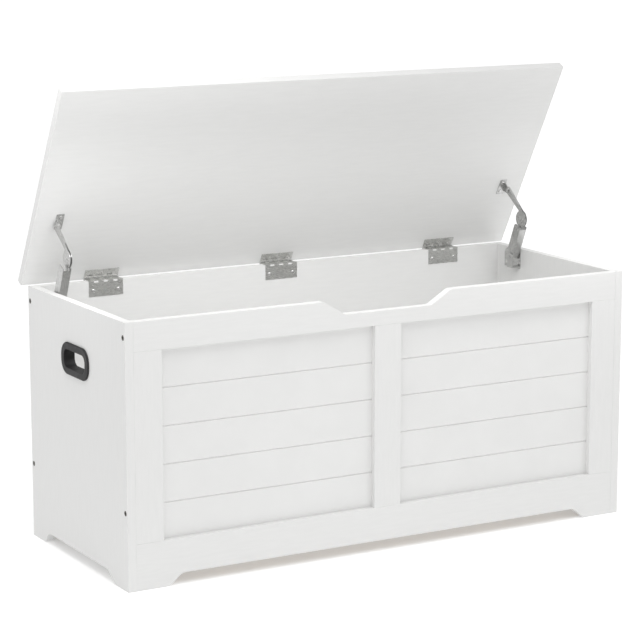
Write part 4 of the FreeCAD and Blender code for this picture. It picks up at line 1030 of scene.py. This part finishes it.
@dataclass
class Rivets:
    """The rivets of the two lid stays, with their domed heads."""

    finishes: Finishes
    head_tall_mm: float = 1.1
    shank_mm: float = 5.0
    shank_in_head: float = 0.4
    crown_share: float = 0.32
    crown_deep_mm: float = 0.04
    dome_share: float = 0.86
    dome_steps: int = 7
    sides: int = 32

    def dome(self, radius_mm: float) -> list[tuple[float, float]]:
        """A domed head's outline.

        Args:
            radius_mm: the head's radius.

        Returns:
            Radius and height pairs in millimetres, from the head's top down.
        """
        fall = self.head_tall_mm * self.dome_share
        outline = [(0.0, 0.0), (radius_mm * self.crown_share, -self.crown_deep_mm)]
        for step in range(2, self.dome_steps + 1):
            turn = step / self.dome_steps * QUARTER_TURN
            outline.append((radius_mm * math.sin(turn), -fall * (1 - math.cos(turn))))
        return outline + [(radius_mm, -self.head_tall_mm), (0.0, -self.head_tall_mm)]

    def build(self) -> None:
        """Replace the plain rivets of both stays."""
        for side, outward in zip(LEFT_RIGHT, (-1.0, 1.0)):
            self.replace(f"stay_foot_rivet_{side}", "carcass", (-outward,))
            self.replace(f"stay_head_rivet_{side}", "lid", (-outward, outward))
            self.replace(f"stay_knee_rivet_{side}", f"stay_arm_{side}", (-outward, outward), False)

    def replace(self, node: str, body: str, ends: Sequence[float], shank: bool = True) -> None:
        """Make one rivet along X in a CAD rivet's place.

        Args:
            node: the CAD rivet.
            body: the body it rides on.
            ends: the ends that have a head, as -1 for low X and 1 for high X.
            shank: whether a shank joins the heads.
        """
        low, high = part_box(node)
        centre = (low + high) / 2
        radius_mm = (high.z - low.z) / 2 / MM
        seats = [
            Seat(Vector((high.x if end > 0 else low.x, centre.y, centre.z)), Vector((-end, 0, 0)))
            for end in ends]
        outline = self.dome(radius_mm)
        one = finish_mesh(revolve(outline, self.sides), f"{node}_one", self.finishes.rivet)
        piece = place_on_seats(f"{node}_domed", one, seats, self.finishes.rivet, RIVET_SEED)
        if shank:
            inset = self.shank_in_head * self.head_tall_mm * MM
            start = low.x + (inset if -1.0 in ends else 0.0)
            stop = high.x - (inset if 1.0 in ends else 0.0)
            self.add_shank(piece, Vector((start, centre.y, centre.z)), stop - start)
        hand_over(piece, body, "steel_rivet", node)

    def add_shank(self, piece: bpy.types.Object, start: Vector, long: float) -> None:
        """Join a shank along X to a rivet's heads.

        Args:
            piece: the heads.
            start: the shank's low end, in metres.
            long: its length in metres.
        """
        bm = bmesh.new()
        bm.from_mesh(piece.data)
        middle = start + Vector((long / 2, 0.0, 0.0))
        place = Matrix.Translation(middle) @ Matrix.Rotation(QUARTER_TURN, 4, "Y")
        radius = self.shank_mm / 2 * MM
        bmesh.ops.create_cone(
            bm, cap_ends=True, segments=self.sides, radius1=radius, radius2=radius,
            depth=long, matrix=place)
        bm.to_mesh(piece.data)
        bm.free()


@dataclass
class LidAndHinges:
    """The lid board and its three wrap-over hinges."""

    finishes: Finishes
    press_ease_mm: float = 0.22

    def build(self) -> None:
        """Dress the lid, and soften the pressed edges of the hinge leaves."""
        dress("lid_board", self.finishes.boards[Grain.ALONG_X])
        for place in HINGE_PLACES:
            back = eased_copy(f"hinge_back_leaf_{place}", self.press_ease_mm, self.finishes.hinge)
            hand_over(back, "carcass", "nickel_hinge", f"hinge_back_leaf_{place}")
            moving = eased_copy(f"hinge_lid_leaf_{place}", self.press_ease_mm, self.finishes.hinge)
            hand_over(moving, "lid", "nickel_hinge", f"hinge_lid_leaf_{place}")
            dress(f"hinge_pin_{place}", self.finishes.rivet)


@dataclass
class LidStays:
    """The two sprung stays: brackets, channel, arm, spring and plunger."""

    finishes: Finishes
    press_ease_mm: float = 0.22
    plunger_ease_mm: float = 0.6
    plunger_segments: int = 3
    lean_deg: float = 23.5
    behind_mm: float = 5.35
    spring_start_mm: float = 4.2
    spring_turns: float = 11.0
    spring_pitch_mm: float = 2.8
    spring_wide_mm: float = 11.0
    wire_mm: float = 1.4
    steps_per_turn: int = 28
    wire_sides: int = 12

    def build(self) -> None:
        """Make both stays."""
        for side in LEFT_RIGHT:
            steel = (
                (f"stay_foot_bracket_{side}", "carcass"),
                (f"stay_channel_{side}", f"stay_channel_{side}"),
                (f"stay_arm_{side}", f"stay_arm_{side}"),
                (f"stay_head_bracket_{side}", "lid"),
            )
            for node, body in steel:
                piece = eased_copy(node, self.press_ease_mm, self.finishes.stay)
                hand_over(piece, body, "nickel_stay", node)
            plunger = eased_copy(f"stay_plunger_{side}", self.plunger_ease_mm,
                                 self.finishes.white_plastic, self.plunger_segments)
            hand_over(plunger, f"stay_channel_{side}", "white_plastic", f"stay_plunger_{side}")
            hand_over(self.spring(side), f"stay_channel_{side}", "spring_steel", f"stay_spring_{side}")

    def spring(self, side: str) -> bpy.types.Object:
        """Wind one coil spring with Geometry Nodes, in its channel.

        Args:
            side: left or right.

        Returns:
            The spring.
        """
        name = f"stay_coil_{side}"
        piece = bpy.data.objects.new(name, bpy.data.meshes.new(name))
        bpy.context.scene.collection.objects.link(piece)
        tree, identifiers, start = start_shape_tree(f"{name}_winding", {
            "Turns": "NodeSocketFloat", "Radius": "NodeSocketFloat", "Height": "NodeSocketFloat",
            "Wire Radius": "NodeSocketFloat", "Finish": "NodeSocketMaterial"})
        path = add_node(tree, "GeometryNodeCurveSpiral", inputs={
            "Resolution": self.steps_per_turn, "Rotations": start.outputs["Turns"],
            "Start Radius": start.outputs["Radius"], "End Radius": start.outputs["Radius"],
            "Height": start.outputs["Height"]})
        section = add_node(tree, "GeometryNodeCurvePrimitiveCircle", inputs={
            "Resolution": self.wire_sides, "Radius": start.outputs["Wire Radius"]})
        wire = add_node(tree, "GeometryNodeCurveToMesh", inputs={
            "Curve": path.outputs["Curve"], "Profile Curve": section.outputs["Curve"], "Fill Caps": True})
        run_shape_tree(piece, tree, wire.outputs["Mesh"], start, identifiers, {
            "Turns": self.spring_turns,
            "Radius": (self.spring_wide_mm - self.wire_mm) / 2 * MM,
            "Height": self.spring_turns * self.spring_pitch_mm * MM,
            "Wire Radius": self.wire_mm / 2 * MM,
            "Finish": self.finishes.spring})
        piece.data.transform(self.channel_place(side))
        return piece

    def channel_place(self, side: str) -> Matrix:
        """Where the spring starts in a channel: by the foot pivot, leant with the channel.

        Args:
            side: left or right.

        Returns:
            The place of the spring's lower end.
        """
        pivot = next(j for j in frame["joints"] if j["name"] == f"stay_channel_pivot_{side}")
        low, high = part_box(f"stay_spring_{side}")
        foot = Vector(((low.x + high.x) / 2, pivot["pos_m"][1], pivot["pos_m"][2]))
        inner = Matrix.Translation((0.0, self.behind_mm * MM, self.spring_start_mm * MM))
        lean = Matrix.Rotation(math.radians(self.lean_deg), 4, "X")
        return Matrix.Translation(foot) @ lean @ inner @ Matrix.Rotation(QUARTER_TURN, 4, "Z")


@dataclass(frozen=True)
class Sun:
    """A wide, distant light; it falls evenly on the bench and the sheet."""

    name: str
    strength: float
    towards: tuple[float, float, float]
    soft_deg: float

    def hang(self) -> None:
        """Add the light."""
        data = bpy.data.lights.new(self.name, "SUN")
        data.energy = self.strength
        data.angle = math.radians(self.soft_deg)
        lamp = bpy.data.objects.new(self.name, data)
        lamp.rotation_euler = (-Vector(self.towards)).to_track_quat("-Z", "Y").to_euler()
        bpy.context.scene.collection.objects.link(lamp)


@dataclass(frozen=True)
class Softbox:
    """A softbox close to the bench; the camera doesn't see it."""

    name: str
    watts: float
    at: tuple[float, float, float]
    aim: tuple[float, float, float]
    long_m: float
    wide_m: float
    spread_deg: float = 180.0

    def hang(self) -> None:
        """Add the light."""
        data = bpy.data.lights.new(self.name, "AREA")
        data.shape = "RECTANGLE"
        data.size = self.long_m
        data.size_y = self.wide_m
        data.energy = self.watts
        data.spread = math.radians(self.spread_deg)
        lamp = bpy.data.objects.new(self.name, data)
        lamp.location = self.at
        lamp.rotation_euler = (Vector(self.aim) - Vector(self.at)).to_track_quat("-Z", "Y").to_euler()
        lamp.visible_camera = False
        bpy.context.scene.collection.objects.link(lamp)


SUNS = (
    Sun(name="overhead_panel", strength=1.07, towards=(-0.05, -0.2, 0.97), soft_deg=70.0),
    Sun(name="upper_right_key", strength=0.16, towards=(0.5, -0.6, 0.62), soft_deg=22.0),
)
SOFTBOXES = (
    Softbox(name="front_left_softbox", watts=2.8, at=(-0.5, -0.35, 1.1), aim=(0.3, 0.1, 0.3),
            long_m=1.0, wide_m=0.4),
    Softbox(name="chest_strip", watts=0.75, at=(0.0, -0.24, 0.72), aim=(0.05, 0.17, 0.27),
            long_m=1.2, wide_m=0.12, spread_deg=92.0),
)


@dataclass
class Studio:
    """The pale sheet, the soft light and the camera."""

    camera_at: tuple[float, float, float] = (-2.0220, -3.5008, 1.1445)
    heading_deg: float = 29.821
    down_deg: float = 10.861
    lens_mm: float = 131.13
    sensor_mm: float = 36.0
    sees_to_m: float = 500.0
    sheet_m: float = 120.0
    sheet_squares: int = 8
    sheet_below_mm: float = 0.2
    tent: float = 0.53

    def place_camera(self) -> None:
        """Set the camera in front of the bench and to its left, looking slightly down."""
        data = bpy.data.cameras.new("studio_camera")
        data.lens = self.lens_mm
        data.sensor_width = self.sensor_mm
        data.clip_end = self.sees_to_m
        camera = bpy.data.objects.new("studio_camera", data)
        camera.location = self.camera_at
        camera.rotation_euler = (math.radians(90 - self.down_deg), 0.0, math.radians(-self.heading_deg))
        bpy.context.scene.collection.objects.link(camera)
        bpy.context.scene.camera = camera

    def build(self) -> None:
        """Lay the sheet and set the lights."""
        bm = bmesh.new()
        squares = self.sheet_squares
        bmesh.ops.create_grid(bm, x_segments=squares, y_segments=squares, size=self.sheet_m / 2)
        sheet = finish_mesh(bm, "studio_sheet", StudioFloor().material())
        sheet.data.transform(Matrix.Translation((0.0, 0.0, -self.sheet_below_mm * MM)))
        for sun in SUNS:
            sun.hang()
        for box in SOFTBOXES:
            box.hang()
        self.make_tent()
        bpy.context.scene.view_settings.view_transform = "Standard"

    def make_tent(self) -> None:
        """An even white tent round the bench."""
        world = bpy.data.worlds.new("white_tent")
        world.use_nodes = True
        tree = world.node_tree
        tree.nodes.clear()
        back = add_node(tree, "ShaderNodeBackground", inputs={
            "Color": (1.0, 1.0, 1.0, 1.0), "Strength": self.tent})
        add_node(tree, "ShaderNodeOutputWorld", inputs={"Surface": back.outputs["Background"]})
        bpy.context.scene.world = world


def lid_inward() -> Vector:
    """The way into the open lid through its underside, from the lid joint's range.

    Returns:
        A unit vector.
    """
    joint = next(j for j in frame["joints"] if j["name"] == "lid_hinge")
    opened = math.radians(joint["range_deg"][1])
    return Vector((0.0, math.sin(opened), math.cos(opened)))


def main() -> None:
    """Build the bench's looks piece by piece around its frame."""
    logging.basicConfig(level=logging.INFO, format="%(name)s: %(message)s")
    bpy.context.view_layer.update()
    studio = Studio()
    studio.place_camera()
    studio.build()
    finishes = Finishes()
    Carcass(finishes).build()
    HandGrips(finishes).build()
    LidAndHinges(finishes).build()
    LidStays(finishes).build()
    Screws(finishes).build(lid_inward())
    Rivets(finishes).build()


if __name__ == "__main__":
    main()
